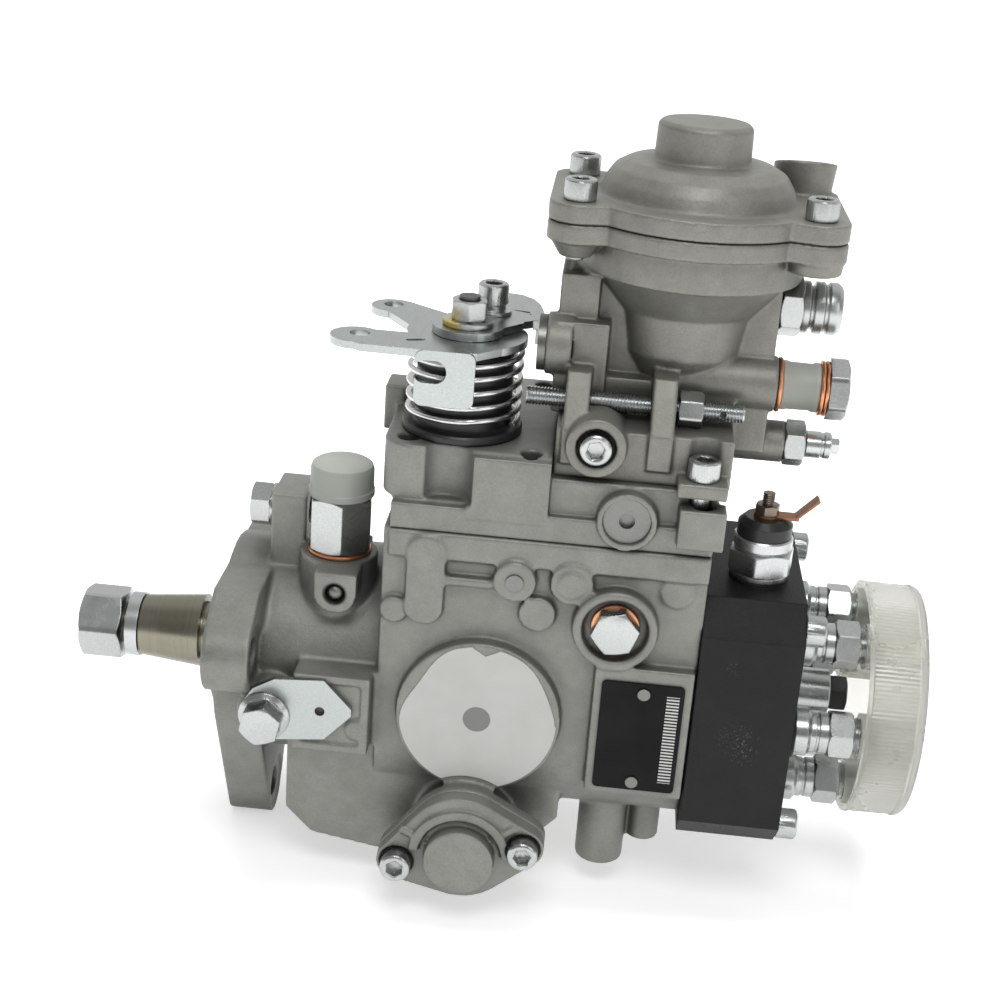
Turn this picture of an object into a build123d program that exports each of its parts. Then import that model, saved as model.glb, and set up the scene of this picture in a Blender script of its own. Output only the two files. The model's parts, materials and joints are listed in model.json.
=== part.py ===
from build123d import *
from math import cos, radians, sin
import os

# Rotary diesel injection pump with a boost compensator, in millimetres.
# X runs along the drive shaft from the nut to the distributor head, Z is up.
# The origin is on the shaft axis, in the front face of the mounting flange.

# Running clearance on shafts and slides, seat gap between separate pieces, gap round loose fits
running_gap = 0.05
seat_gap = 0.3

# Mounting flange and pilot
pilot_radius = 25.0
pilot_length = 4.0
flange_thickness = 15.0
stud_circle_radius = 47.3
stud_circle_drop = 9.7
stud_hole_radius = 5.25
ear_radius = 12.5
lug_radius = 10.5
flange_top = 33.0
flange_top_half_width = 35.0
nut_seat_width = 19.0
nut_seat_depth = 1.0

# Housing casting
bore_radius = 27.0
neck_radius = 36.0
body_start = 54.0
body_end = 155.0
body_half_width = 40.0
body_floor = -38.0
body_corner = 24.0
cover_joint = 62.5
pocket_half_width = 25.0
belly_start = 25.0
belly_floor = -58.0
belly_half_width = 36.0

# Drive shaft
journal_radius = 10.0
taper_big_radius = 12.5
taper_length = 21.0
taper_ratio = 10.0
taper_front = -32.0
stud_radius = 7.0
nut_flats = 22.0
nut_height = 14.5
nut_gap = 1.5
spring_washer_thickness = 4.5
spring_washer_radius = 11.0
bush_wall = 2.0
bush_length = 20.0
seal_length = 6.0
seal_radius = 16.0

# Feed pump
feed_pump_start = 27.0
feed_pump_width = 14.0
feed_plate_thickness = 4.0
feed_ring_wall = 4.0
feed_rotor_radius = 18.5
feed_eccentricity = 2.2
vane_thickness = 2.4
vane_count = 4

# Governor drive
gear_start = 60.0
gear_width = 6.0
gear_module = 1.5
drive_teeth = 34
governor_teeth = 24
carrier_length = 18.0
carrier_radius = 16.5
governor_shaft_radius = 4.0
sleeve_radius = 7.0
sleeve_length = 13.0
weight_count = 4
governor_shaft_start = 55.0
lever_pivot_x = 112.0
lever_pivot_z = 24.0
lever_pin_radius = 2.5

# Cam drive and plunger
roller_ring_start = 79.0
roller_ring_width = 13.0
roller_ring_inner = 15.0
roller_radius = 4.5
roller_length = 9.0
cam_plate_thickness = 8.0
cam_plate_radius = 24.0
cam_lobes = 6
cam_lift = 2.2
plunger_radius = 5.0
collar_radius = 10.0
collar_length = 9.0
collar_start = 116.0

# Timing device across the bottom of the housing
timer_x = 85.5
timer_z = -42.5
timer_bore = 11.5
timer_wall = 5.5
timer_half_length = 51.0
timer_flange_thickness = 5.0
timer_piston_half_length = 17.0
timer_travel = 6.0
timer_screw_spacing = 41.4
timer_screw_tilt = 12.7
timer_cover_thickness = 5.5
timer_dome_radius = 11.2
timer_dome_height = 5.0
timer_pin_radius = 3.5

# Distributor head
head_length = 32.0
head_half_width = 42.0
head_top = 46.0
head_floor = -40.0
head_chamfer = 10.0
spigot_length = 15.0
barrel_start = 130.0
barrel_radius = 12.0
outlet_count = 6
outlet_circle_radius = 29.0
outlet_flats = 14.0
outlet_collar_radius = 8.0
outlet_body_radius = 6.6
outlet_thread_radius = 6.0
outlet_bore_radius = 1.5

# Transport cap over the outlets
cap_radius = 39.0
cap_wall = 1.6
cap_start = 210.0
cap_length = 19.0
cap_socket_wall = 1.4
cap_clearance = 0.1

# Fuel shut-off valve
valve_x = 172.6
valve_y = -14.0
valve_flats = 19.0
valve_hex_height = 12.0
insulator_radius = 8.7
insulator_height = 6.0
valve_stud_radius = 2.0
valve_stroke = 1.5

# Governor cover
cover_start = 52.0
cover_half_width = 40.0
cover_front_top = 89.0
cover_rear_top = 82.5
cover_step = 104.0
cover_roof = 5.0

# Throttle lever
throttle_x = 74.3
throttle_y = -18.0
throttle_shaft_radius = 5.0
throttle_stem_radius = 3.2
cup_radius = 18.8
cup_base_height = 3.0
drum_radius = 15.0
drum_top = 115.6
spring_coil_radius = 17.2
spring_wire = 2.0
spring_turns = 4.6
plate_thickness = 2.4
plate_bottom = 117.4
throttle_nut_flats = 10.0

# Boost compensator
boost_x = 140.5
boost_y = 0.0
boost_joint = 158.0
boost_ear_x = 35.5
boost_ear_y = 20.0
boost_ear_radius = 9.0
boost_plate_radius = 38.0
boost_flange_thickness = 5.5
boost_bowl_radius = 33.0
boost_well_radius = 21.4
boost_chamber_radius = 28.0
boost_pin_radius = 4.0
dome_radius = 30.0
dome_wall = 3.0
dome_top = 175.0
dome_boss_radius = 14.7
dome_boss_top = 186.5
port_x = 174.0
port_y = 24.0
port_radius = 10.0
port_top = 172.5
port_hole_radius = 5.0
port_tilt = 14.0
lever_space_start = 107.5
lever_space_end = 148.0
union_seat = 169.0
union_flats = 17.0
union_hex_height = 7.0
union_rib_radius = 8.2
union_groove_radius = 6.8
lock_bolt_radius = 4.0
lock_bolt_length = 18.0

# Fastener sizes: cap screws of six millimetres
screw_radius = 3.0
screw_head_radius = 5.0
screw_head_height = 6.0
screw_socket_flats = 5.0
screw_socket_depth = 3.0

# Worked-out places
drive_pitch_radius = gear_module * drive_teeth / 2
governor_pitch_radius = gear_module * governor_teeth / 2
governor_z = drive_pitch_radius + governor_pitch_radius
taper_end = taper_front + taper_length
plunger_end = body_end + 10.0
head_end = body_end + head_length
boost_bottom = cover_rear_top
side_y = -body_half_width


def across(x, y, z):
    """Plane whose normal points at the viewer's side of the pump."""
    return Plane(origin=(x, y, z), x_dir=(1, 0, 0), z_dir=(0, -1, 0))


def along(x, y, z):
    """Plane whose normal runs along the shaft towards the head."""
    return Plane(origin=(x, y, z), x_dir=(0, 1, 0), z_dir=(1, 0, 0))


def upright(x, y, z):
    """Level plane at a height."""
    return Plane(origin=(x, y, z), x_dir=(1, 0, 0), z_dir=(0, 0, 1))


def round_bar(plane, radius, length, mode=Mode.ADD):
    """Add or cut a round bar that stands on a plane."""
    with BuildSketch(plane) as outline:
        Circle(radius)
    extrude(outline.sketch, amount=length, mode=mode)


def hex_bar(plane, flats, length, mode=Mode.ADD, turn=0):
    """Add or cut a hexagonal bar that stands on a plane."""
    with BuildSketch(plane) as outline:
        RegularPolygon(flats / 2, 6, major_radius=False, rotation=turn)
    extrude(outline.sketch, amount=length, mode=mode)


def block(plane, width, height, length, mode=Mode.ADD):
    """Add or cut a rectangular block that stands on a plane."""
    with BuildSketch(plane) as outline:
        Rectangle(width, height)
    extrude(outline.sketch, amount=length, mode=mode)


def spin(plane, profile, mode=Mode.ADD):
    """Add or cut a turned form: radius and height pairs spun about the plane's normal."""
    side = Plane(origin=plane.origin, x_dir=plane.x_dir, z_dir=-plane.y_dir)
    with BuildSketch(side) as outline:
        with BuildLine():
            Polyline(*profile, close=True)
        make_face()
    revolve(outline.sketch, axis=Axis(plane.origin, plane.z_dir), mode=mode)


def cap_screw(shank):
    """Socket cap screw, its head seat in the level plane and its shank below."""
    with BuildPart() as screw:
        round_bar(Plane.XY, screw_head_radius, screw_head_height)
        round_bar(Plane.XY.offset(-shank), screw_radius, shank)
        socket_floor = Plane.XY.offset(screw_head_height - screw_socket_depth)
        hex_bar(socket_floor, screw_socket_flats, screw_socket_depth, Mode.SUBTRACT)
    return screw.part


def placed(piece, plane):
    """A copy of a piece carried to a plane."""
    return plane.location * piece


def ring_points(radius, count, start=0.0):
    """Points spaced evenly round a circle, as pairs."""
    angles = [radians(start + 360 * index / count) for index in range(count)]
    return [(radius * cos(angle), radius * sin(angle)) for angle in angles]


def coil(plane, radius, wire, length, turns, corners=12):
    """Add a spring wound as short straight runs, from the plane upwards."""
    steps = round(turns * corners)
    points = [
        plane.from_local_coords(
            (
                radius * cos(radians(360 * step / corners)),
                radius * sin(radians(360 * step / corners)),
                wire / 2 + (length - wire) * step / steps,
            )
        )
        for step in range(steps + 1)
    ]
    with BuildLine() as path:
        Polyline(*points)
    start = Plane(origin=points[0], z_dir=points[1] - points[0])
    with BuildSketch(start) as section:
        Rectangle(wire * 0.88, wire * 0.88)
    sweep(section.sketch, path=path.line, transition=Transition.RIGHT)


# Side features of the housing, as X, Z, radius and height above the side wall
round_pads = {
    "pin boss": (95.7, 49.2, 6.6, 4.4),
    "large pad": (113.3, 49.7, 6.7, 3.4),
    "small pad": (103.4, 38.4, 5.8, 3.0),
    "left pad": (58.5, 35.0, 4.4, 2.4),
}
plug_boss = (127.9, 36.3, 13.3, 5.4)
plug_recess_radius = 10.3
plug_recess_depth = 4.6
plug_flats = 13.8
plug_head = 7.0
plug_washer_radius = 7.7
washer_thickness = 1.4
badge_x = 87.4
badge_z = 1.3
badge_radius = 26.2
badge_height = 5.0
plate_x = 138.6
plate_z = 0.3
plate_width = 26.0
plate_height = 38.0
plate_pad_height = 4.4
inlet_x = 36.8
inlet_y = -15.0
inlet_top = 42.0
inlet_boss_radius = 12.6
inlet_flats = 19.0
inlet_thread_radius = 7.0
ball_x = 38.7
ball_z = 35.0
ball_radius = 3.0
ball_pad_y = -35.0
relief_y = -3.0
relief_z = 50.5
relief_block_start = 13.5
relief_block_end = 25.2
relief_flats = 13.0
lock_x = 19.5
lock_z = -4.0
lock_seat_y = -45.4

# Die-cast housing
stud_points = [(y, z - stud_circle_drop) for y, z in ring_points(stud_circle_radius, 3, 30)]
timer_screws = [
    (side * timer_screw_spacing / 2 * cos(radians(timer_screw_tilt)),
     side * timer_screw_spacing / 2 * sin(radians(timer_screw_tilt)))
    for side in (-1, 1)
]


def timer_outline(plane, height, mode=Mode.ADD):
    """Add the two-bolt outline shared by the timer flanges and covers."""
    with BuildSketch(plane) as outline:
        with Locations(*timer_screws):
            Circle(6.6)
        with Locations((0, 2.5)):
            Circle(18)
        make_hull()
    extrude(outline.sketch, amount=height, mode=mode)


near_timer = across(timer_x, -timer_half_length, timer_z)
far_timer = Plane(origin=(timer_x, timer_half_length, timer_z), x_dir=(1, 0, 0), z_dir=(0, 1, 0))

with BuildPart() as pump_housing:
    # Flange: two ears with a flat top, and a lug that hangs from the neck
    with BuildSketch(Plane.YZ):
        with Locations(stud_points[0], stud_points[1]):
            Circle(ear_radius)
        with Locations((0, flange_top - 3)):
            Rectangle(2 * flange_top_half_width, 6)
        make_hull()
    extrude(amount=flange_thickness)
    with BuildSketch(Plane.YZ):
        Circle(neck_radius)
        with Locations(stud_points[2]):
            Circle(lug_radius)
        make_hull()
    extrude(amount=flange_thickness)
    round_bar(Plane.YZ.offset(-pilot_length), pilot_radius, pilot_length)

    # Neck round the feed pump, and the main body behind it
    round_bar(Plane.YZ, neck_radius, body_start + 8)
    with BuildSketch(Plane.YZ.offset(body_start)) as section:
        with Locations((0, (cover_joint + body_floor) / 2)):
            Rectangle(2 * body_half_width, cover_joint - body_floor)
        fillet(section.vertices().group_by(Axis.Y)[0], body_corner)
    extrude(amount=body_end - body_start)

    # Belly that slopes down to the timing device
    with BuildSketch(Plane.XZ.offset(-belly_half_width)):
        with BuildLine():
            Polyline(
                (belly_start, 0),
                (belly_start, belly_floor + 14),
                (belly_start + 9, belly_floor + 5),
                (timer_x - 20, belly_floor),
                (timer_x + 12, belly_floor),
                (timer_x + 30, body_floor),
                (timer_x + 30, 0),
                close=True,
            )
        make_face()
    extrude(amount=2 * belly_half_width)

    # Timing device barrel with its bolting flanges
    round_bar(far_timer, timer_bore + timer_wall, -2 * timer_half_length)
    timer_outline(near_timer, -timer_flange_thickness)
    timer_outline(far_timer, -timer_flange_thickness)

    # Joint band under the governor cover
    band_centre = (body_start + 2 + body_end) / 2
    block(upright(band_centre, 0, cover_joint - 9), body_end - body_start - 2, 2 * body_half_width + 5, 9)

    # Round pads, plug boss, badge seat, plate seat and ribs on the near side
    for pad_x, pad_z, pad_radius, pad_height in round_pads.values():
        round_bar(across(pad_x, side_y, pad_z), pad_radius, pad_height)
    round_bar(across(plug_boss[0], side_y, plug_boss[1]), plug_boss[2], plug_boss[3])
    round_bar(across(badge_x, side_y, badge_z), badge_radius, badge_height)
    block(across(plate_x, side_y, plate_z + 1), plate_width + 5, plate_height + 7, plate_pad_height)
    with BuildSketch(across(68, side_y, 46.5)):
        SlotOverall(30, 12, rotation=90)
    extrude(amount=3.6)
    block(across(80, side_y, 47), 18, 3, 3.2)

    # Bosses under the body
    round_bar(upright(130.5, -22, belly_floor), 8, 25)
    round_bar(upright(144.5, -18, belly_floor + 7), 5.5, 18)

    # Fuel inlet boss, sealing ball pad, relief valve block and lock bolt boss on the neck
    round_bar(upright(inlet_x, inlet_y, 0), inlet_boss_radius, inlet_top)
    with BuildSketch(across(ball_x, 0, ball_z)):
        Circle(6.9)
        with Locations((0, 3.4)):
            Rectangle(13.8, 6.8)
    extrude(amount=-ball_pad_y)
    block(along(relief_block_start, relief_y, 44), 20, 29, relief_block_end - relief_block_start)
    round_bar(across(lock_x, 0, lock_z), 9.5, -lock_seat_y)
    block(across(40.5, 0, -2), 25, 26, -lock_seat_y)
    round_bar(across(49, 0, -7), 3.4, 1 - lock_seat_y)

    # Bore for the feed pump, cam drive and head, and the governor pocket above it
    round_bar(along(feed_pump_start - 1, 0, 0), bore_radius, body_end, Mode.SUBTRACT)
    pocket_start = gear_start - 0.8
    block(
        upright((pocket_start + 150) / 2, 0, 0),
        150 - pocket_start,
        2 * pocket_half_width,
        cover_joint,
        Mode.SUBTRACT,
    )
    round_bar(along(-pilot_length, 0, 0), journal_radius + bush_wall, 40, Mode.SUBTRACT)
    round_bar(along(-pilot_length, 0, 0), seal_radius, seal_length, Mode.SUBTRACT)

    # Timing device bore and the slot for its pin
    round_bar(far_timer, timer_bore, -2 * timer_half_length, Mode.SUBTRACT)
    block(upright(timer_x, 0, timer_z), 9, 26, 20, Mode.SUBTRACT)

    # Stud holes with nut seats behind them
    for stud_y, stud_z in stud_points:
        round_bar(along(0, stud_y, stud_z), stud_hole_radius, flange_thickness, Mode.SUBTRACT)
        round_bar(
            along(flange_thickness - nut_seat_depth, stud_y, stud_z),
            nut_seat_width / 2,
            nut_seat_depth,
            Mode.SUBTRACT,
        )

    # Threaded and plain holes
    round_bar(upright(inlet_x, inlet_y, inlet_top), inlet_thread_radius, -12, Mode.SUBTRACT)
    round_bar(along(relief_block_start, relief_y, relief_z), 5, 12, Mode.SUBTRACT)
    plug_face_y = side_y - plug_boss[3]
    plug_face = across(plug_boss[0], plug_face_y, plug_boss[1])
    round_bar(plug_face, plug_recess_radius, -plug_recess_depth, Mode.SUBTRACT)
    round_bar(plug_face, 5, -12, Mode.SUBTRACT)
    round_bar(across(ball_x, ball_pad_y, ball_z), ball_radius, -6, Mode.SUBTRACT)
    round_bar(across(lock_x, lock_seat_y - 15, lock_z), 9.5, -15, Mode.SUBTRACT)
    round_bar(across(lock_x, lock_seat_y, lock_z), lock_bolt_radius, 2 - lock_bolt_length, Mode.SUBTRACT)
    for plane in (near_timer, far_timer):
        for screw_x, screw_z in timer_screws:
            hole = Plane(
                origin=plane.from_local_coords((screw_x, screw_z, 0)),
                x_dir=plane.x_dir,
                z_dir=plane.z_dir,
            )
            round_bar(hole, screw_radius, -14, Mode.SUBTRACT)
    # Seats of the governor shaft and of the lever pin
    round_bar(along(governor_shaft_start, 0, governor_z), governor_shaft_radius, 10, Mode.SUBTRACT)
    lever_pin_plane = across(lever_pivot_x, pocket_half_width + 5, lever_pivot_z)
    round_bar(lever_pin_plane, lever_pin_radius + running_gap, 2 * pocket_half_width + 10, Mode.SUBTRACT)

# Shaft bush and lip seal in the flange
with BuildPart() as shaft_bush:
    bush_outer = journal_radius + bush_wall - running_gap
    bush_start = seal_length - pilot_length + seat_gap
    round_bar(along(bush_start, 0, 0), bush_outer, bush_length)
    round_bar(along(bush_start, 0, 0), journal_radius + running_gap, bush_length, Mode.SUBTRACT)

with BuildPart() as shaft_seal:
    seal_depth = seal_length - seat_gap
    seal_start = -pilot_length + seat_gap
    spin(
        along(seal_start, 0, 0),
        [
            (journal_radius + running_gap, 0),
            (seal_radius - running_gap, 0),
            (seal_radius - running_gap, seal_depth),
            (journal_radius + 3, seal_depth),
            (journal_radius + 3, 2),
            (journal_radius + running_gap, 2),
        ],
    )

# Drive shaft: threaded stud, taper for the drive gear, journal, and claws at the rear
shaft_disc_start = gear_start + gear_width + seat_gap
claw_start = shaft_disc_start + 4
claw_length = 7.0
cross_half = 6.2
with BuildPart() as drive_shaft:
    taper_small_radius = taper_big_radius - taper_length / taper_ratio
    shaft_start = taper_front - spring_washer_thickness - nut_gap - nut_height
    spin(
        along(0, 0, 0),
        [
            (0, shaft_start - 1),
            (stud_radius - 1, shaft_start - 1),
            (stud_radius, shaft_start),
            (stud_radius, taper_front),
            (taper_small_radius, taper_front),
            (taper_big_radius, taper_end),
            (journal_radius, taper_end),
            (journal_radius, shaft_disc_start),
            (14, shaft_disc_start),
            (14, claw_start),
            (0, claw_start),
        ],
    )
    for side in (-1, 1):
        claw_y = side * (cross_half + seat_gap + 3)
        block(along(claw_start, claw_y, 0), 6, 14, claw_length)

with BuildPart() as shaft_nut:
    nut_start = taper_front - spring_washer_thickness - nut_gap - nut_height
    with BuildSketch(along(nut_start, 0, 0)):
        RegularPolygon(nut_flats / 2, 6, major_radius=False, rotation=23)
        Circle(stud_radius + running_gap, mode=Mode.SUBTRACT)
    extrude(amount=nut_height)
    with BuildSketch(Plane.XY) as chamfer_ring:
        with BuildLine():
            Polyline(
                (nut_start, nut_flats / 2 - 0.4),
                (nut_start, nut_flats),
                (nut_start + 5, nut_flats),
                close=True,
            )
        make_face()
    revolve(chamfer_ring.sketch, axis=Axis.X, mode=Mode.SUBTRACT)

# Split spring washer under the nut
with BuildPart() as spring_washer:
    washer_start = taper_front - spring_washer_thickness
    round_bar(along(washer_start, 0, 0), spring_washer_radius, spring_washer_thickness - seat_gap)
    round_bar(along(washer_start, 0, 0), stud_radius + running_gap, spring_washer_thickness, Mode.SUBTRACT)
    split_plane = Plane(
        origin=(washer_start, 2 - spring_washer_radius, 0), x_dir=(1, 0.4, 0), z_dir=(0, 0, 1)
    )
    with BuildSketch(split_plane.offset(-spring_washer_radius)):
        Rectangle(12, 1.2)
    extrude(amount=spring_washer_radius + 2, mode=Mode.SUBTRACT)

# Vane feed pump
feed_z = feed_eccentricity
with BuildPart() as feed_pump_ring:
    round_bar(along(feed_pump_start, 0, 0), bore_radius - running_gap, feed_pump_width)
    round_bar(along(feed_pump_start, 0, feed_z), bore_radius - feed_ring_wall, feed_pump_width, Mode.SUBTRACT)
    plate_start = feed_pump_start + feed_pump_width + seat_gap
    round_bar(along(plate_start, 0, 0), bore_radius - running_gap, feed_plate_thickness)
    round_bar(along(plate_start, 0, 0), journal_radius + running_gap, feed_plate_thickness, Mode.SUBTRACT)

vane_reach = bore_radius - feed_ring_wall - feed_eccentricity - 0.2
with BuildPart() as feed_pump_rotor:
    rotor_start = feed_pump_start + seat_gap
    rotor_width = feed_pump_width - seat_gap
    round_bar(along(rotor_start, 0, 0), feed_rotor_radius, rotor_width)
    round_bar(along(rotor_start, 0, 0), journal_radius + running_gap, rotor_width, Mode.SUBTRACT)
    with BuildSketch(along(rotor_start, 0, 0)):
        with PolarLocations(feed_rotor_radius - 3, vane_count, start_angle=45):
            Rectangle(7, vane_thickness)
    extrude(amount=rotor_width, mode=Mode.SUBTRACT)

    # Vanes drawn in to the reach that clears the ring all round
    vane_height = vane_reach - feed_rotor_radius + 6
    with BuildSketch(along(rotor_start, 0, 0)):
        with PolarLocations(vane_reach - vane_height / 2, vane_count, start_angle=45):
            Rectangle(vane_height, vane_thickness - 2 * running_gap)
    extrude(amount=rotor_width)


def toothed_wheel(plane, teeth, width, phase):
    """Add a spur wheel with tapered teeth round the plane's normal."""
    pitch_radius = gear_module * teeth / 2
    root_radius = pitch_radius - 1.25 * gear_module
    tip_radius = pitch_radius + 0.75 * gear_module
    half_root = 0.32 * 360 / teeth
    half_tip = 0.13 * 360 / teeth
    points = []
    for tooth in range(teeth):
        middle = phase + 360 * tooth / teeth
        for radius, offset in (
            (root_radius, -half_root),
            (tip_radius, -half_tip),
            (tip_radius, half_tip),
            (root_radius, half_root),
        ):
            angle = radians(middle + offset)
            points.append((radius * cos(angle), radius * sin(angle)))
    with BuildSketch(plane) as outline:
        with BuildLine():
            Polyline(*points, close=True)
        make_face()
    extrude(outline.sketch, amount=width)


# Governor drive: a wheel on the shaft turns the weight carrier above it
with BuildPart() as governor_drive_gear:
    toothed_wheel(along(gear_start, 0, 0), drive_teeth, gear_width, 90)
    round_bar(along(gear_start, 0, 0), journal_radius + running_gap, gear_width, Mode.SUBTRACT)

with BuildPart() as governor_shaft:
    governor_shaft_length = gear_width + carrier_length + sleeve_length + 12
    round_bar(along(governor_shaft_start, 0, governor_z), governor_shaft_radius, governor_shaft_length)

carrier_start = gear_start + gear_width
with BuildPart() as governor_carrier:
    toothed_wheel(along(gear_start, 0, governor_z), governor_teeth, gear_width, 90 + 180 / governor_teeth)
    round_bar(along(carrier_start, 0, governor_z), carrier_radius, carrier_length)
    round_bar(along(carrier_start + 2, 0, governor_z), carrier_radius - 1.6, carrier_length, Mode.SUBTRACT)
    with BuildSketch(along(carrier_start + 3, 0, governor_z)):
        with PolarLocations(carrier_radius, weight_count, start_angle=45):
            Rectangle(8, 13)
    extrude(amount=carrier_length - 6, mode=Mode.SUBTRACT)
    round_bar(
        along(gear_start - 1, 0, governor_z), governor_shaft_radius + running_gap, 40, Mode.SUBTRACT
    )

with BuildPart() as flyweights:
    with BuildSketch(along(carrier_start + 3.3, 0, governor_z)):
        with PolarLocations(carrier_radius - 4.9, weight_count, start_angle=45):
            Rectangle(7.4, 12)
    extrude(amount=carrier_length - 6.6)

sleeve_start = carrier_start + carrier_length - 4
with BuildPart() as governor_sleeve:
    round_bar(along(sleeve_start, 0, governor_z), sleeve_radius, sleeve_length)
    round_bar(
        along(sleeve_start, 0, governor_z), governor_shaft_radius + running_gap, sleeve_length, Mode.SUBTRACT
    )

# Cross disc between the shaft claws and the cam plate claws
cam_claw_front = claw_start + seat_gap + 8
with BuildPart() as coupling_cross:
    cross_start = claw_start + seat_gap
    cross_length = roller_ring_start + roller_ring_width - cross_start - 4
    block(along(cross_start, 0, 0), 2 * cross_half, 18, cross_length)

# Roller ring and its rollers, turned by the timing piston
ring_end = roller_ring_start + roller_ring_width
roller_axis_x = ring_end - roller_radius + 3
roller_middle = (roller_ring_inner + cam_plate_radius) / 2 - 0.5
roller_angles = (30, 150, 210, 330)
with BuildPart() as roller_ring:
    round_bar(along(roller_ring_start, 0, 0), bore_radius - seat_gap, roller_ring_width)
    round_bar(along(roller_ring_start, 0, 0), roller_ring_inner, roller_ring_width, Mode.SUBTRACT)
    for angle in roller_angles:
        seat = Plane(
            origin=(
                roller_axis_x,
                (roller_middle - roller_length / 2 - seat_gap) * cos(radians(angle)),
                (roller_middle - roller_length / 2 - seat_gap) * sin(radians(angle)),
            ),
            x_dir=(1, 0, 0),
            z_dir=(0, cos(radians(angle)), sin(radians(angle))),
        )
        round_bar(seat, roller_radius + running_gap, roller_length + 2 * seat_gap, Mode.SUBTRACT)

with BuildPart() as rollers:
    for angle in roller_angles:
        seat = Plane(
            origin=(
                roller_axis_x,
                (roller_middle - roller_length / 2) * cos(radians(angle)),
                (roller_middle - roller_length / 2) * sin(radians(angle)),
            ),
            x_dir=(1, 0, 0),
            z_dir=(0, cos(radians(angle)), sin(radians(angle))),
        )
        round_bar(seat, roller_radius, roller_length)

# Pin from the roller ring into the timing piston
with BuildPart() as timer_pin:
    pin_top = -roller_ring_inner - 5
    pin_bottom = timer_z - 4
    round_bar(upright(timer_x, 0, pin_bottom), timer_pin_radius, pin_top - pin_bottom)

# Cam plate with six lobes, its claws, and the distributor plunger behind it
cam_face = roller_axis_x + roller_radius + seat_gap
with BuildPart() as cam_plate:
    round_bar(along(cam_face, 0, 0), cam_plate_radius, cam_plate_thickness + cam_lift)
    for angle in range(cam_lobes):
        valley = radians(360 * (angle + 0.5) / cam_lobes)
        valley_plane = Plane(
            origin=(cam_face - 9, 0, 0),
            x_dir=(1, 0, 0),
            z_dir=(0, cos(valley), sin(valley)),
        )
        round_bar(valley_plane, 9 + cam_lift, cam_plate_radius + 1, Mode.SUBTRACT)
    round_bar(along(cam_face - 1, 0, 0), roller_ring_inner - 1, cam_lift + 1, Mode.SUBTRACT)
    for side in (-1, 1):
        claw = along(cam_claw_front, 0, side * (9 + seat_gap + 1.6))
        block(claw, 10, 3.2, cam_face + cam_lift + 1 - cam_claw_front)

cam_end = cam_face + cam_lift + cam_plate_thickness
with BuildPart() as plunger:
    round_bar(along(cam_end + running_gap, 0, 0), 9, 3)
    round_bar(along(cam_end + running_gap + 3, 0, 0), plunger_radius, plunger_end - cam_end - 3)
    round_bar(along(cam_end + 30, 0, 0), 1.2, plunger_end, Mode.SUBTRACT)

with BuildPart() as control_collar:
    round_bar(along(collar_start, 0, 0), collar_radius, collar_length)
    round_bar(along(collar_start, 0, 0), plunger_radius + running_gap, collar_length, Mode.SUBTRACT)
    round_bar(upright(collar_start + collar_length / 2, 0, 6), 2.4, 6, Mode.SUBTRACT)

# Governor lever on its cross pin, with the ball pin that moves the control collar
lever_face = sleeve_start + sleeve_length + seat_gap
ball_pin_x = collar_start + collar_length / 2
lever_floor = cam_plate_radius + 2.2
with BuildPart() as governor_lever:
    with BuildSketch(across(0, 7, 0)):
        with BuildLine():
            Polyline(
                (lever_face, 68),
                (lever_face, lever_floor + 3),
                (lever_face + 4, lever_floor),
                (lever_pivot_x - 5, lever_floor),
                (lever_pivot_x - 3.5, lever_pivot_z - 3.5),
                (ball_pin_x - 3, 17),
                (ball_pin_x + 3, 17),
                (ball_pin_x + 3, 21),
                (lever_pivot_x + 4.5, lever_pivot_z + 3.5),
                (lever_face + 8, lever_floor + 4),
                (lever_face + 3, lever_floor + 9),
                (lever_face + 3, 68),
                close=True,
            )
        make_face()
    extrude(amount=14)
    round_bar(upright(ball_pin_x, 0, 8), 2, 12)
    slot_half = governor_shaft_radius + 0.7
    block(upright(lever_face + 1.5, 0, governor_z - 9), 4, 2 * slot_half, 21, Mode.SUBTRACT)
    pin_half = pocket_half_width + 4
    round_bar(across(lever_pivot_x, pin_half, lever_pivot_z), lever_pin_radius, 2 * pin_half)

# Governor spring between the throttle shaft's inner arm and the lever
with BuildPart() as governor_spring:
    spring_start = throttle_x + 4
    spring_place = along(spring_start, -3, cover_joint + 3)
    coil(spring_place, 4.2, 1.2, lever_face - seat_gap - spring_start, 5, corners=10)

# Timing piston, its spring and the two end covers
with BuildPart() as timer_piston:
    piston_face = Plane(
        origin=(timer_x, -timer_piston_half_length, timer_z), x_dir=(1, 0, 0), z_dir=(0, 1, 0)
    )
    piston_length = 2 * timer_piston_half_length
    round_bar(piston_face, timer_bore - running_gap, piston_length)
    round_bar(piston_face, timer_bore - 3.5, 9, Mode.SUBTRACT)
    round_bar(upright(timer_x, 0, timer_z - 4.3), timer_pin_radius + 0.8, 20, Mode.SUBTRACT)
    block(upright(timer_x, 0, timer_z + 3), 2 * timer_pin_radius + 1.6, 11, 12, Mode.SUBTRACT)

timer_spring_length = timer_half_length - timer_piston_half_length - timer_travel - 2 * seat_gap
with BuildPart() as timer_spring:
    spring_seat = Plane(
        origin=(timer_x, timer_piston_half_length + seat_gap, timer_z), x_dir=(1, 0, 0), z_dir=(0, 1, 0)
    )
    coil(spring_seat, 8.0, 2.0, timer_spring_length, 5)


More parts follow.
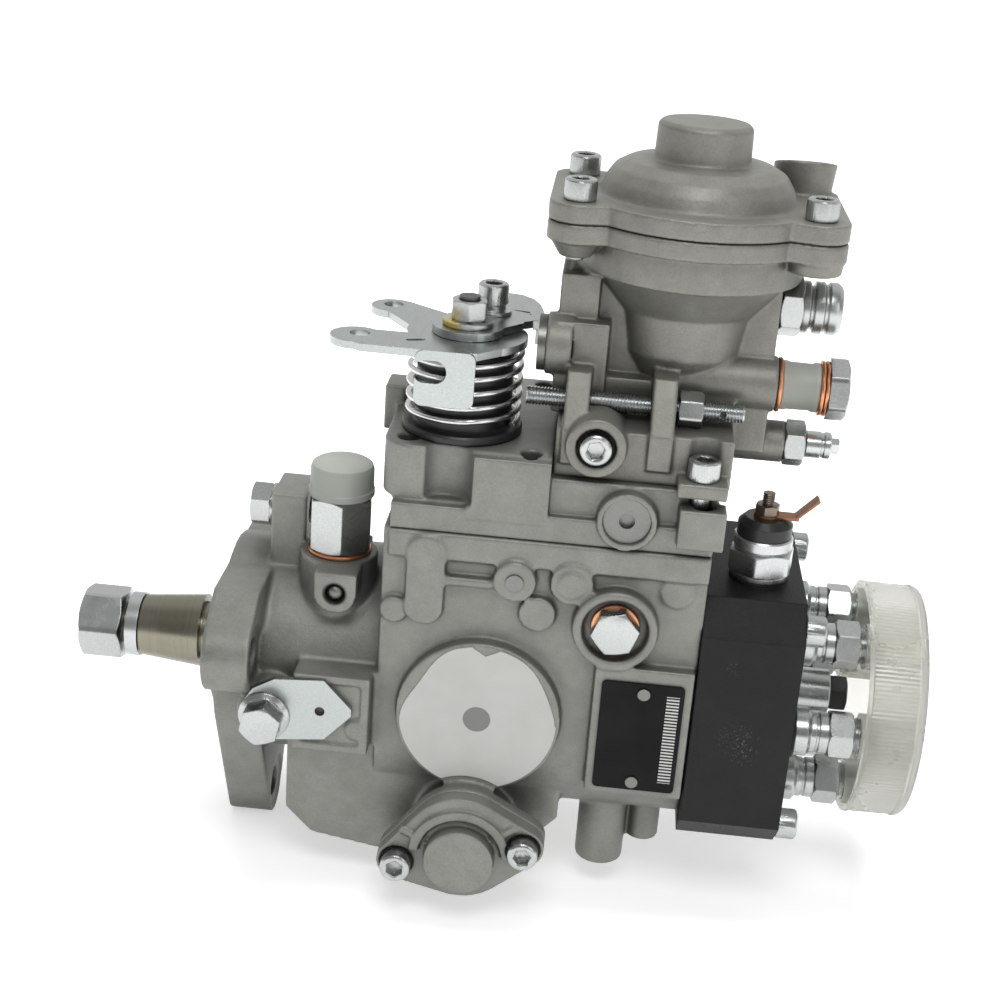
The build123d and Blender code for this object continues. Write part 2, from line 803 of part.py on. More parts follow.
def timer_cover_form(plane):
    """Add a timing cover with its raised round cap, arch rib and screw seats."""
    timer_outline(plane, timer_cover_thickness)
    top = plane.offset(timer_cover_thickness)
    round_bar(top, timer_dome_radius, timer_dome_height)
    with BuildSketch(top) as arch:
        Circle(16.5)
        Circle(13.4, mode=Mode.SUBTRACT)
        with Locations((0, -9)):
            Rectangle(40, 20, mode=Mode.SUBTRACT)
    extrude(arch.sketch, amount=1.6)
    for screw_x, screw_z in timer_screws:
        seat = Plane(
            origin=top.from_local_coords((screw_x, screw_z, 0)), x_dir=plane.x_dir, z_dir=plane.z_dir
        )
        round_bar(seat.offset(-1.5), screw_head_radius + 0.5, 5, Mode.SUBTRACT)
        round_bar(seat, screw_radius, -timer_cover_thickness, Mode.SUBTRACT)


with BuildPart() as timer_cover_near:
    timer_cover_form(near_timer)

with BuildPart() as timer_cover_far:
    timer_cover_form(far_timer)

with BuildPart() as timer_screws_set:
    for plane in (near_timer, far_timer):
        for screw_x, screw_z in timer_screws:
            seat = Plane(
                origin=plane.from_local_coords((screw_x, screw_z, timer_cover_thickness - 1.5)),
                x_dir=plane.x_dir,
                z_dir=plane.z_dir,
            )
            add(placed(cap_screw(16), seat))

# Distributor head: block, spigot in the housing bore, and the plunger barrel
outlet_points = ring_points(outlet_circle_radius, outlet_count)
head_screw_points = [(y, z) for y in (-34, 34) for z in (head_floor + 8, head_top - 8)]
with BuildPart() as distributor_head:
    with BuildSketch(along(body_end, 0, 0)) as head_section:
        with Locations((0, (head_top + head_floor) / 2)):
            Rectangle(2 * head_half_width, head_top - head_floor)
        chamfer(head_section.vertices(), head_chamfer)
    extrude(amount=head_length)
    round_bar(along(body_end, 0, 0), bore_radius - running_gap, -spigot_length)
    round_bar(along(body_end, 0, 0), barrel_radius, barrel_start - body_end)
    round_bar(along(head_end, 0, 0), 9, 1.5)
    for outlet_y, outlet_z in outlet_points:
        round_bar(along(head_end, outlet_y, outlet_z), outlet_collar_radius + 0.8, 1.5)
        round_bar(along(head_end + 1.5, outlet_y, outlet_z), outlet_thread_radius, -12, Mode.SUBTRACT)
    plunger_bore = plunger_radius + running_gap
    round_bar(along(barrel_start, 0, 0), plunger_bore, plunger_end + 3 - barrel_start, Mode.SUBTRACT)
    round_bar(along(head_end + 1.5, 0, 0), 6, -12, Mode.SUBTRACT)
    round_bar(upright(valve_x, valve_y, head_top), 9.5, 1.2)
    round_bar(upright(valve_x, valve_y, head_top + 1.2), 7, -14, Mode.SUBTRACT)
    round_bar(upright(valve_x, 0, head_floor), 8, 10, Mode.SUBTRACT)
    for screw_y, screw_z in head_screw_points:
        round_bar(along(head_end, screw_y, screw_z), screw_radius, -head_length, Mode.SUBTRACT)

with BuildPart() as head_screws:
    for screw_y, screw_z in head_screw_points:
        add(placed(cap_screw(head_length), along(head_end, screw_y, screw_z)))

# Service plug under the head
with BuildPart() as head_plug:
    round_bar(upright(valve_x, 0, head_floor), 8, 8)
    hex_bar(upright(valve_x, 0, head_floor), 24, -7)

# Centre plug on the back of the head, with its bleed screw
centre_plug_length = 14.0
with BuildPart() as centre_plug:
    round_bar(along(head_end + 1.5, 0, 0), 6, -8)
    round_bar(along(head_end + 1.5, 0, 0), 7.8, centre_plug_length)
    round_bar(along(head_end + 1.5 + centre_plug_length, 0, 0), 3, -6, Mode.SUBTRACT)

with BuildPart() as bleed_screw:
    bleed_seat = head_end + 1.5 + centre_plug_length
    round_bar(along(bleed_seat, 0, 0), 3, -5)
    hex_bar(along(bleed_seat, 0, 0), 11, 6)

# Delivery valve holders round the head, one for each cylinder
with BuildPart() as outlet_holder:
    spin(
        Plane.XY,
        [
            (outlet_bore_radius, -10),
            (outlet_thread_radius, -10),
            (outlet_thread_radius, 0),
            (outlet_collar_radius, 0),
            (outlet_collar_radius, 4.5),
            (outlet_body_radius, 5.5),
            (outlet_body_radius, 11),
            (outlet_bore_radius, 11),
        ],
    )
    hex_bar(Plane.XY.offset(11), outlet_flats, 8)
    round_bar(Plane.XY.offset(19), outlet_thread_radius, 8)
    round_bar(Plane.XY.offset(11), outlet_bore_radius, 16, Mode.SUBTRACT)

with BuildPart() as delivery_valve_holders:
    for outlet_y, outlet_z in outlet_points:
        add(placed(outlet_holder.part, along(head_end + 1.5, outlet_y, outlet_z)))

# Transport cap: a shallow cup with one socket for each outlet
with BuildPart() as transport_cap:
    cap_end = cap_start + cap_length
    spin(
        along(0, 0, 0),
        [
            (cap_radius - cap_wall, cap_start),
            (cap_radius, cap_start),
            (cap_radius, cap_end - 1.5),
            (cap_radius - 1.5, cap_end),
            (0, cap_end),
            (0, cap_end - cap_wall),
            (cap_radius - cap_wall, cap_end - cap_wall),
        ],
    )
    socket_start = head_end + 1.5 + 19 + 1
    socket_inner = outlet_thread_radius + cap_clearance
    for outlet_y, outlet_z in outlet_points:
        socket = along(socket_start, outlet_y, outlet_z)
        round_bar(socket, socket_inner + cap_socket_wall, cap_end - cap_wall - socket_start)
        round_bar(socket, socket_inner, cap_end - cap_wall - socket_start, Mode.SUBTRACT)

# Fuel shut-off valve on the head, with its insulator, nut, cable lug and armature
valve_seat = head_top + 1.2
valve_top = valve_seat + 2 + valve_hex_height
with BuildPart() as shutoff_valve:
    round_bar(upright(valve_x, valve_y, valve_seat), 9.5, 2)
    hex_bar(upright(valve_x, valve_y, valve_seat + 2), valve_flats, valve_hex_height)
    round_bar(upright(valve_x, valve_y, valve_seat), 7, -9)
    round_bar(upright(valve_x, valve_y, valve_seat - 9), 4 + running_gap, 14, Mode.SUBTRACT)

with BuildPart() as valve_armature:
    spin(
        upright(valve_x, valve_y, valve_seat - 11.5),
        [(0, 0), (3, 0), (4, 1.5), (4, 15.5 - valve_stroke), (0, 15.5 - valve_stroke)],
    )

insulator_top = valve_top + insulator_height
with BuildPart() as valve_insulator:
    spin(
        upright(valve_x, valve_y, valve_top),
        [
            (valve_stud_radius + running_gap, 0),
            (insulator_radius, 0),
            (insulator_radius, insulator_height - 2),
            (insulator_radius - 2, insulator_height),
            (valve_stud_radius + running_gap, insulator_height),
        ],
    )

lug_thickness = 1.0
with BuildPart() as cable_lug:
    with BuildSketch(upright(valve_x, valve_y, insulator_top)):
        Circle(4)
        with Locations((6, 0)):
            Rectangle(8, 5)
        Circle(valve_stud_radius + running_gap, mode=Mode.SUBTRACT)
    extrude(amount=lug_thickness)
    with BuildSketch(Plane.XZ.offset(-valve_y - 2.5)):
        with BuildLine():
            Polyline(
                (valve_x + 9, insulator_top),
                (valve_x + 16, insulator_top + 7),
                (valve_x + 15.3, insulator_top + 7.7),
                (valve_x + 9, insulator_top + lug_thickness),
                close=True,
            )
        make_face()
    extrude(amount=5)

with BuildPart() as valve_terminal:
    round_bar(upright(valve_x, valve_y, valve_top), valve_stud_radius, insulator_height + 8)
    hex_bar(upright(valve_x, valve_y, insulator_top + lug_thickness), 7, 3.2)

# Governor cover: hollow casting on the housing, with the throttle shaft bearing in its roof
stop_screw_y = -24.0
stop_screw_z = 103.5
cover_band = cover_joint + 8.5
plug_ring = (128.1, 72.3)
plug_ring_radius = 9.2
plug_disc_radius = 7.3
plug_ring_y = -44.0
lower_lug = (149.7, 79.0)
with BuildPart() as governor_cover:
    block(
        upright((body_start + 2 + body_end) / 2, 0, cover_joint),
        body_end - body_start - 2,
        2 * body_half_width + 3,
        cover_band - cover_joint,
    )
    with BuildSketch(upright((cover_start + cover_step) / 2, 0, cover_band)) as upper_band:
        Rectangle(cover_step - cover_start, 2 * cover_half_width - 3)
        fillet(upper_band.vertices().group_by(Axis.X)[0], 9)
    extrude(amount=cover_front_top - cover_band)
    block(
        upright((cover_step + body_end) / 2, 0, cover_band),
        body_end - cover_step,
        2 * cover_half_width - 2,
        cover_rear_top - cover_band,
    )
    # Square pad and scoop beside the cup, threaded lug and plug ring on the near side
    block(upright(91.5, -34, cover_band - 3), 25, 16, cover_front_top - cover_band + 2)
    round_bar(upright(72.5, -42, cover_band + 1), 8, 30, Mode.SUBTRACT)
    block(upright(150.5, -42, cover_joint + 4), 14, 9, lower_lug[1] - cover_joint - 4)
    round_bar(across(plug_ring[0], 0, plug_ring[1]), plug_ring_radius, -plug_ring_y)
    # Lug behind the cup
    block(upright(51, 5, cover_front_top - 9), 7, 13, 15)
    # Hollow inside, with the way up to the compensator
    block(
        upright((pocket_start + 150) / 2, 0, cover_joint),
        150 - pocket_start,
        2 * pocket_half_width,
        cover_rear_top - cover_roof - cover_joint,
        Mode.SUBTRACT,
    )
    block(
        upright((pocket_start + 99) / 2, 0, cover_joint),
        99 - pocket_start,
        2 * pocket_half_width,
        cover_front_top - cover_roof - cover_joint,
        Mode.SUBTRACT,
    )
    opening_centre = (lever_space_start - 0.5 + lever_space_end) / 2
    opening_length = lever_space_end + 0.5 - lever_space_start
    block(upright(opening_centre, 0, cover_joint), opening_length, 26, 30, Mode.SUBTRACT)
    # Shaft bearing, screw holes and plug recess
    throttle_bearing = throttle_shaft_radius + running_gap
    round_bar(upright(throttle_x, throttle_y, cover_joint), throttle_bearing, 40, Mode.SUBTRACT)
    for hole_x, hole_y in ((59.5, -31), (97.5, -36), (59.5, 31), (97.5, 33)):
        round_bar(upright(hole_x, hole_y, cover_front_top), 3.2, -10, Mode.SUBTRACT)
    round_bar(upright(150.5, -41, lower_lug[1]), 3.2, -9, Mode.SUBTRACT)
    round_bar(across(plug_ring[0], plug_ring_y, plug_ring[1]), plug_disc_radius, -4.5, Mode.SUBTRACT)
    round_bar(upright(149.5, -39, cover_rear_top), screw_radius, -12, Mode.SUBTRACT)
    round_bar(upright(149.5, 29.5, cover_rear_top), screw_radius, -12, Mode.SUBTRACT)

with BuildPart() as cover_plug:
    round_bar(across(plug_ring[0], plug_ring_y + 4.5, plug_ring[1]), plug_disc_radius - running_gap, 3)
    round_bar(across(plug_ring[0], plug_ring_y + 1.5, plug_ring[1]), 2.4, -2, Mode.SUBTRACT)

# Throttle: drum on the cover, shaft, two lever plates, clamp nut and return spring
cup_bottom = cover_front_top
lever_two_bottom = plate_bottom + plate_thickness + 0.2
nut_seat_z = lever_two_bottom + plate_thickness
throttle_origin = upright(throttle_x, throttle_y, 0)
with BuildPart() as spring_cup:
    spin(
        throttle_origin,
        [
            (throttle_bearing + 0.1, cup_bottom),
            (cup_radius, cup_bottom),
            (cup_radius, cup_bottom + cup_base_height),
            (drum_radius, cup_bottom + cup_base_height),
            (drum_radius, drum_top),
            (throttle_bearing + 0.1, drum_top),
        ],
    )

with BuildPart() as throttle_shaft:
    spin(
        throttle_origin,
        [
            (0, cover_joint + 8),
            (throttle_shaft_radius, cover_joint + 8),
            (throttle_shaft_radius, plate_bottom),
            (throttle_stem_radius, plate_bottom),
            (throttle_stem_radius, nut_seat_z + 9),
            (0, nut_seat_z + 9),
        ],
    )
    block(upright(throttle_x, throttle_y + 7, cover_joint + 8), 7, 14, 4)
    round_bar(upright(throttle_x, throttle_y + 11, cover_joint + 4), 2, 5)

tab_y = -39.7
tab_left = 61.0
tab_right = 79.0
tab_bottom = 102.5
with BuildPart() as throttle_lever:
    lever_level = upright(throttle_x, throttle_y, plate_bottom)
    with BuildSketch(lever_level):
        Circle(18.6)
        with BuildLine():
            Polyline((-13, -22), (4.7, -22), (14, -12), (14, 8), (-8, 16), (-14, 0), close=True)
        make_face()
        with BuildLine():
            Polyline((-10, -22.5), (-30, -22), (-39, -16), (-33, -6), (-10, -6), close=True)
        make_face()
        with Locations((-32.5, -12.5)):
            Circle(8)
        with BuildLine():
            Polyline((-14, -4), (-27, 16), (-22, 29), (-6, 17), close=True)
        make_face()
        with Locations((-26.2, 23)):
            Circle(7)
        with Locations((-31.7, -11), (-26.2, 24)):
            Circle(3.1, mode=Mode.SUBTRACT)
        with Locations((-14.5, -13)):
            SlotOverall(6, 2, rotation=20, mode=Mode.SUBTRACT)
        Circle(throttle_stem_radius + running_gap, mode=Mode.SUBTRACT)
        with Locations((6, 15.5)):
            Circle(screw_radius + running_gap, mode=Mode.SUBTRACT)
    extrude(amount=plate_thickness)
    # Tab bent down over the spring, with its oval hole
    tab_height = plate_bottom + plate_thickness - tab_bottom
    tab_middle = tab_bottom + tab_height / 2
    tab_centre = across((tab_left + tab_right) / 2, tab_y + plate_thickness / 2, tab_middle)
    with BuildSketch(tab_centre):
        RectangleRounded(tab_right - tab_left, tab_height, 2.5)
        with Locations((-4.5, 2)):
            SlotOverall(10, 7, mode=Mode.SUBTRACT)
    extrude(amount=plate_thickness)

with BuildPart() as throttle_top_lever:
    with BuildSketch(upright(throttle_x, throttle_y, lever_two_bottom)):
        Circle(11)
        with BuildLine():
            Polyline((-8, -7), (3.5, -10.5), (16.5, 6), (18, 18), (8, 22), (-6, 9), close=True)
        make_face()
        with BuildLine():
            Polyline((10, 14), (22.5, 17.5), (23, 13.2), (17, 8), close=True)
        make_face()
        Circle(throttle_stem_radius + running_gap, mode=Mode.SUBTRACT)
        with Locations((6, 15.5)):
            Circle(screw_radius + running_gap, mode=Mode.SUBTRACT)
    extrude(amount=plate_thickness)

with BuildPart() as lever_fasteners:
    washer_height = 1.8
    round_bar(upright(throttle_x, throttle_y, nut_seat_z), 8, washer_height)
    hex_bar(upright(throttle_x, throttle_y, nut_seat_z + washer_height), throttle_nut_flats, 5, turn=8)
    nut_seat = upright(throttle_x, throttle_y, nut_seat_z)
    round_bar(nut_seat, throttle_stem_radius + running_gap, 10, Mode.SUBTRACT)
    clamp_seat = upright(throttle_x + 6, throttle_y + 15.5, nut_seat_z)
    add(placed(cap_screw(nut_seat_z - plate_bottom), clamp_seat))

with BuildPart() as throttle_spring:
    spring_bottom = cup_bottom + cup_base_height + seat_gap
    spring_length = plate_bottom - seat_gap - spring_bottom
    coil(
        upright(throttle_x, throttle_y, spring_bottom),
        spring_coil_radius,
        spring_wire,
        spring_length,
        spring_turns,
        corners=18,
    )

# Boost compensator body
pivot_x = 116.7
pivot_z = 94.1
pivot_face_y = -41.5
pivot_seat_y = -37.0
union_z = 132.4
return_y = -10.0
return_z = 109.7
return_face = 170.4
full_load_face = 175.5
full_load_y = -5.0
full_load_z = 89.4
body_flange_top = boost_joint - 0.4
boost_points = [
    (-boost_ear_x, -boost_ear_y),
    (-boost_ear_x, boost_ear_y),
    (boost_ear_x, -boost_ear_y),
]
base_near = -36.0
base_height = 15.7
cup_plug_seat = 98.5
cup_plug_y = -15.0
cup_plug_z = 118.0


def boost_outline(plane, height):
    """Add the round plate with four screw ears shared by the compensator's joint."""
    with BuildSketch(plane) as ears:
        for end in (-1, 1):
            with BuildSketch(mode=Mode.PRIVATE) as pair:
                with Locations((end * boost_ear_x, -boost_ear_y), (end * boost_ear_x, boost_ear_y)):
                    Circle(boost_ear_radius)
                Circle(20)
                make_hull()
            add(pair.sketch)
        Circle(boost_plate_radius)
    extrude(ears.sketch, amount=height)


with BuildPart() as boost_body:
    flange_bottom = body_flange_top - boost_flange_thickness
    boost_outline(upright(boost_x, boost_y, flange_bottom), boost_flange_thickness)
    spin(
        upright(boost_x, boost_y, 0),
        [
            (0, 106),
            (11, 106.5),
            (17, 110),
            (20.5, 117),
            (boost_well_radius, 124),
            (boost_well_radius + 1, 130),
            (boost_bowl_radius - 2.5, 140.5),
            (boost_bowl_radius, 143.5),
            (boost_bowl_radius, body_flange_top - 2),
            (0, body_flange_top - 2),
        ],
    )
    # Base on the governor cover, upper column, front block and bosses
    base_start = cover_step + seat_gap
    base_end = 158
    base_centre = (base_start + base_end) / 2
    base_length = base_end - base_start
    block(upright(base_centre, (base_near + 34) / 2, boost_bottom), base_length, 34 - base_near, base_height)
    block(upright(base_centre, 3, boost_bottom), base_length, 42, 27)
    column_end = union_seat - seat_gap
    block(upright((base_start + column_end) / 2, 5, 108), column_end - base_start, 34, 33)
    block(upright(107.5, -4, boost_bottom + 15), 12, 24, 43)
    block(upright(109.5, -8, boost_bottom + 15), 16, 25, 29)
    block(upright(157, -3, full_load_z - 1), 2 * (column_end - 157), 24, 20)
    round_bar(across(pivot_x, 0, pivot_z), 9.2, -pivot_face_y)
    round_bar(along(cup_plug_seat, cup_plug_y, cup_plug_z), 9.6, 8)
    round_bar(along(140, return_y, return_z), 8.6, return_face - 140)
    round_bar(along(150, full_load_y, full_load_z), 6.6, 25.5)
    block(upright(149.5, -39, boost_bottom), 15, 13, 4.5)
    # Lugs of the stop screw, which widen down to the base
    for lug_start in (106, 132.2):
        with BuildSketch(Plane.YZ.offset(lug_start)) as lug:
            with BuildLine():
                Polyline(
                    (-14, 113.5), (-28, 113.5), (-31, 109), (-37.5, 98), (-37.5, 87), (-14, 87), close=True
                )
            make_face()
        extrude(lug.sketch, amount=7.4)
    # Bosses under the screw ears
    for ear_x, ear_y in boost_points:
        ear_profile = [(0, 1), (boost_ear_radius, 1), (boost_ear_radius - 1, 0), (4.8, -5), (0, -5)]
        if ear_x > 0:
            ear_profile = [(0, 1), (boost_ear_radius - 0.5, 1), (boost_ear_radius - 1, -4), (0, -4)]
        spin(upright(boost_x + ear_x, boost_y + ear_y, flange_bottom), ear_profile)
    # Diaphragm chamber, spring well, pin guide and lever space
    spin(
        upright(boost_x, boost_y, 0),
        [
            (0, body_flange_top + 1),
            (boost_chamber_radius, body_flange_top + 1),
            (boost_chamber_radius, 146),
            (16, 142),
            (16, 126),
            (0, 126),
        ],
        Mode.SUBTRACT,
    )
    guide_radius = boost_pin_radius + running_gap
    round_bar(upright(boost_x, boost_y, boost_bottom), guide_radius, 50, Mode.SUBTRACT)
    space_centre = (lever_space_start + lever_space_end) / 2
    space_length = lever_space_end - lever_space_start
    block(upright(space_centre, 0, boost_bottom - 1), space_length, 20, 30.5, Mode.SUBTRACT)
    # Screw and fitting holes
    round_bar(across(pivot_x, 12, pivot_z), screw_radius, 60, Mode.SUBTRACT)
    round_bar(across(pivot_x, pivot_seat_y, pivot_z), screw_head_radius + 1.1, 10, Mode.SUBTRACT)
    round_bar(along(cup_plug_seat, cup_plug_y, cup_plug_z), 7, 8, Mode.SUBTRACT)
    round_bar(along(return_face, return_y, return_z), 5.2, -12, Mode.SUBTRACT)
    round_bar(along(full_load_face, full_load_y, full_load_z), 4, -20, Mode.SUBTRACT)
    round_bar(along(union_seat, 0, union_z), 6, -10, Mode.SUBTRACT)
    round_bar(along(union_seat - seat_gap, 0, union_z), 10.2, 12, Mode.SUBTRACT)
    round_bar(upright(149.5, -39, boost_bottom + 4.5), screw_head_radius + 0.6, 14, Mode.SUBTRACT)
    round_bar(along(100, stop_screw_y, stop_screw_z), screw_radius, 50, Mode.SUBTRACT)
    for ear_x, ear_y in boost_points:
        round_bar(
            upright(boost_x + ear_x, boost_y + ear_y, body_flange_top), screw_radius, -20, Mode.SUBTRACT
        )
    round_bar(upright(149.5, -39, boost_bottom), screw_radius, 12, Mode.SUBTRACT)
    round_bar(upright(149.5, 29.5, boost_bottom), screw_radius, 30, Mode.SUBTRACT)

# Diaphragm: the rubber sheet clamped in the joint
with BuildPart() as boost_diaphragm:
    boost_outline(upright(boost_x, boost_y, body_flange_top), 0.8)
    round_bar(upright(boost_x, boost_y, body_flange_top), boost_chamber_radius - 1, 1, Mode.SUBTRACT)
    for ear_x, ear_y in boost_points:
        round_bar(upright(boost_x + ear_x, boost_y + ear_y, body_flange_top), screw_radius, 1, Mode.SUBTRACT)

# Diaphragm plate and control pin, which move together
plate_rest = body_flange_top + 1.2
boost_axis = upright(boost_x, boost_y, 0)
with BuildPart() as boost_pin:
    spin(
        boost_axis,
        [
            (0, 99),
            (boost_pin_radius, 100),
            (boost_pin_radius, 107),
            (boost_pin_radius - 1.3, 108.6),
            (boost_pin_radius - 1.3, 119),
            (boost_pin_radius, 120),
            (boost_pin_radius, plate_rest),
            (boost_chamber_radius - 4, plate_rest),
            (boost_chamber_radius - 4, plate_rest + 1.6),
            (7, plate_rest + 1.6),
            (7, plate_rest + 4),
            (0, plate_rest + 4),
        ],
    )

with BuildPart() as boost_spring:
    well_floor = upright(boost_x, boost_y, 126 + seat_gap)
    coil(well_floor, 12.5, 2.2, plate_rest - 126 - 2 * seat_gap, 4, corners=14)

# Bell crank from the control pin down to the governor lever
with BuildPart() as boost_lever:
    with BuildSketch(Plane.XZ.offset(-3)):
        with BuildLine():
            Polyline(
                (boost_x - boost_pin_radius - 0.4, 107.3),
                (boost_x - boost_pin_radius - 0.4, 106.3),
                (pivot_x + 3, pivot_z - 5),
                (113, 76),
                (107.5, 69.5),
                (106, 71.5),
                (109.5, 77),
                (pivot_x - 5, pivot_z + 3),
                close=True,
            )
        make_face()
        with Locations((pivot_x, pivot_z)):
            Circle(5.5)
            Circle(screw_radius + running_gap, mode=Mode.SUBTRACT)
    extrude(amount=6)

# Compensator cover: ribbed dome with a blind centre boss and the pressure port
with BuildPart() as boost_cover:
    cover_base = boost_joint + 0.4
    cover_flange_top = cover_base + boost_flange_thickness
    boost_outline(upright(boost_x, boost_y, cover_base), boost_flange_thickness)
    dome_profile = [
        (0, cover_flange_top - 1),
        (dome_radius + 1, cover_flange_top - 1),
        (dome_radius, cover_flange_top + 1),
        (dome_radius - 1.4, cover_flange_top + 4.5),
        (dome_radius - 3.7, cover_flange_top + 8),
        (dome_radius - 8, dome_top - 0.7),
        (dome_boss_radius, dome_top),
        (dome_boss_radius - 0.3, dome_boss_top - 1.2),
        (dome_boss_radius - 1.5, dome_boss_top),
        (0, dome_boss_top),
    ]
    spin(boost_axis, dome_profile)
    port_plane = Plane(
        origin=(port_x, port_y, port_top),
        x_dir=(1, 0, 0),
        z_dir=(0, sin(radians(port_tilt)), cos(radians(port_tilt))),
    )
    spin(port_plane, [(0, 0), (port_radius, 0), (port_radius - 1.4, -11), (0, -11)])
    spin(
        boost_axis,
        [
            (0, cover_base),
            (dome_radius - dome_wall, cover_base),
            (dome_radius - dome_wall, cover_flange_top + 1),
            (dome_radius - 9, cover_flange_top + 6),
            (0, cover_flange_top + 7.5),
        ],
        Mode.SUBTRACT,
    )
    round_bar(port_plane, port_hole_radius, -9, Mode.SUBTRACT)
    for ear_x, ear_y in boost_points:
        round_bar(upright(boost_x + ear_x, boost_y + ear_y, cover_base), screw_radius, 10, Mode.SUBTRACT)

# All the cap screws of the compensator: three in the cover, two in the base, one lever pivot
with BuildPart() as boost_screws:
    for ear_x, ear_y in boost_points:
        add(placed(cap_screw(18), upright(boost_x + ear_x, boost_y + ear_y, cover_flange_top)))
    add(placed(cap_screw(16), upright(149.5, -39, boost_bottom + 4.5)))
    add(placed(cap_screw(26), upright(149.5, 29.5, boost_bottom + base_height)))
    add(placed(cap_screw(12 - pivot_seat_y), across(pivot_x, pivot_seat_y, pivot_z)))

with BuildPart() as cup_plug:
    round_bar(along(cup_plug_seat, cup_plug_y, cup_plug_z), 8.7, -2.5)
    round_bar(along(cup_plug_seat, cup_plug_y, cup_plug_z), 7, 5)

# Vent hose union on the compensator
with BuildPart() as hose_union:
    hex_bar(along(union_seat, 0, union_z), union_flats, union_hex_height)
    spin(
        along(union_seat, 0, union_z),
        [
            (0, -9),
            (6, -9),
            (6, union_hex_height),
            (union_rib_radius, union_hex_height + 0.4),
            (union_rib_radius, union_hex_height + 2),
            (union_groove_radius, union_hex_height + 2.3),
            (union_groove_radius, union_hex_height + 3.5),
            (union_rib_radius, union_hex_height + 3.9),
            (union_rib_radius, union_hex_height + 6.5),
            (union_rib_radius - 0.6, union_hex_height + 7),
            (union_rib_radius - 0.6, union_hex_height + 7.7),
            (union_rib_radius, union_hex_height + 8.2),
            (union_rib_radius, union_hex_height + 10.8),
            (union_rib_radius - 1.2, union_hex_height + 12),
            (0, union_hex_height + 12),
        ],
    )
    round_bar(along(union_seat - 9, 0, union_z), 3.6, 40, Mode.SUBTRACT)

# Return outlet: hollow bolt, plastic transport sleeve between copper washers
sleeve_length_return = 11.6
with BuildPart() as return_bolt:
    bolt_head = return_face + 3 * washer_thickness + sleeve_length_return
    hex_bar(along(bolt_head, return_y, return_z), 17, 6)
    round_bar(along(return_face - 10, return_y, return_z), 5.2, bolt_head - return_face + 10)

with BuildPart() as plastic_caps:
    sleeve_plane = along(return_face + washer_thickness, return_y, return_z)
    round_bar(sleeve_plane, 7.7, sleeve_length_return)
    round_bar(sleeve_plane, 5.2 + running_gap, sleeve_length_return, Mode.SUBTRACT)
    inlet_hex_top = inlet_top + washer_thickness + 18.2
    round_bar(upright(inlet_x, inlet_y, inlet_hex_top), 10.6, 11.5)
    round_bar(upright(inlet_x, inlet_y, inlet_hex_top), 8 + running_gap, 8, Mode.SUBTRACT)

# Copper sealing washers
side_plug_seat = side_y - plug_boss[3] + plug_recess_depth
with BuildPart() as copper_washers:
    for washer_x in (
        return_face,
        return_face + washer_thickness + sleeve_length_return,
        return_face + 2 * washer_thickness + sleeve_length_return,
    ):
        washer_plane = along(washer_x + 0.05, return_y, return_z)
        round_bar(washer_plane, 8.6, washer_thickness - 0.1)
        round_bar(washer_plane, 5.2 + running_gap, washer_thickness, Mode.SUBTRACT)
    inlet_seat = upright(inlet_x, inlet_y, inlet_top)
    round_bar(inlet_seat, 10.4, washer_thickness)
    round_bar(inlet_seat, inlet_thread_radius + running_gap, washer_thickness, Mode.SUBTRACT)
    plug_seat = across(plug_boss[0], side_plug_seat, plug_boss[1])
    round_bar(plug_seat, plug_washer_radius, washer_thickness)
    round_bar(plug_seat, 5 + running_gap, washer_thickness, Mode.SUBTRACT)

# Full-load and speed stop screws with their lock nuts
with BuildPart() as adjusting_screws:
    round_bar(along(full_load_face - 15, full_load_y, full_load_z), 4, 22)
    round_bar(along(full_load_face + 7, full_load_y, full_load_z), 4.3, 8)
    round_bar(along(full_load_face + 15, full_load_y, full_load_z), 2.5, 2.6)
    stop_screw_start = 94.0
    stop_screw_end = 160.6
    stop_screw_length = stop_screw_end - stop_screw_start
    round_bar(along(stop_screw_start, stop_screw_y, stop_screw_z), screw_radius, stop_screw_length)
    round_bar(across(stop_screw_end - 6.5, stop_screw_y + 5, stop_screw_z), 1.2, 10, Mode.SUBTRACT)

with BuildPart() as lock_nuts:
    hex_bar(along(full_load_face, full_load_y, full_load_z), 13, 6.5)
    round_bar(along(full_load_face, full_load_y, full_load_z), 4 + running_gap, 7, Mode.SUBTRACT)
    hex_bar(along(140.5, stop_screw_y, stop_screw_z), 10, 7.5)
    round_bar(along(140.5, stop_screw_y, stop_screw_z), screw_radius + running_gap, 8, Mode.SUBTRACT)

# Fuel inlet union and the relief valve in the neck
with BuildPart() as inlet_union:
    hex_bar(upright(inlet_x, inlet_y, inlet_top + washer_thickness), inlet_flats, 18.2, turn=10)
    round_bar(upright(inlet_x, inlet_y, inlet_top + washer_thickness), inlet_thread_radius, -10)
    round_bar(upright(inlet_x, inlet_y, inlet_hex_top), 8, 7.5)
    round_bar(upright(inlet_x, inlet_y, inlet_top - 12), 4.5, 50, Mode.SUBTRACT)

with BuildPart() as relief_valve:
    round_bar(along(relief_block_start, relief_y, relief_z), 5, 10)
    round_bar(along(relief_block_start, relief_y, relief_z), 7.2, -1.4)
    hex_bar(along(relief_block_start - 1.4, relief_y, relief_z), relief_flats, -6.4)

# Hexagon plug in the side and sealing balls
with BuildPart() as side_plug:
    plug_place = across(plug_boss[0], side_plug_seat - washer_thickness, plug_boss[1])
    hex_bar(plug_place, plug_flats, plug_head, turn=30)
    round_bar(plug_place, 5, -8)

with BuildPart() as sealing_balls:
    with Locations((ball_x, ball_pad_y + ball_radius, ball_z)):
        Sphere(ball_radius - running_gap)
    pin_boss = round_pads["pin boss"]
    round_bar(across(pin_boss[0], side_y - pin_boss[3], pin_boss[1]), 2.8, 0.6)

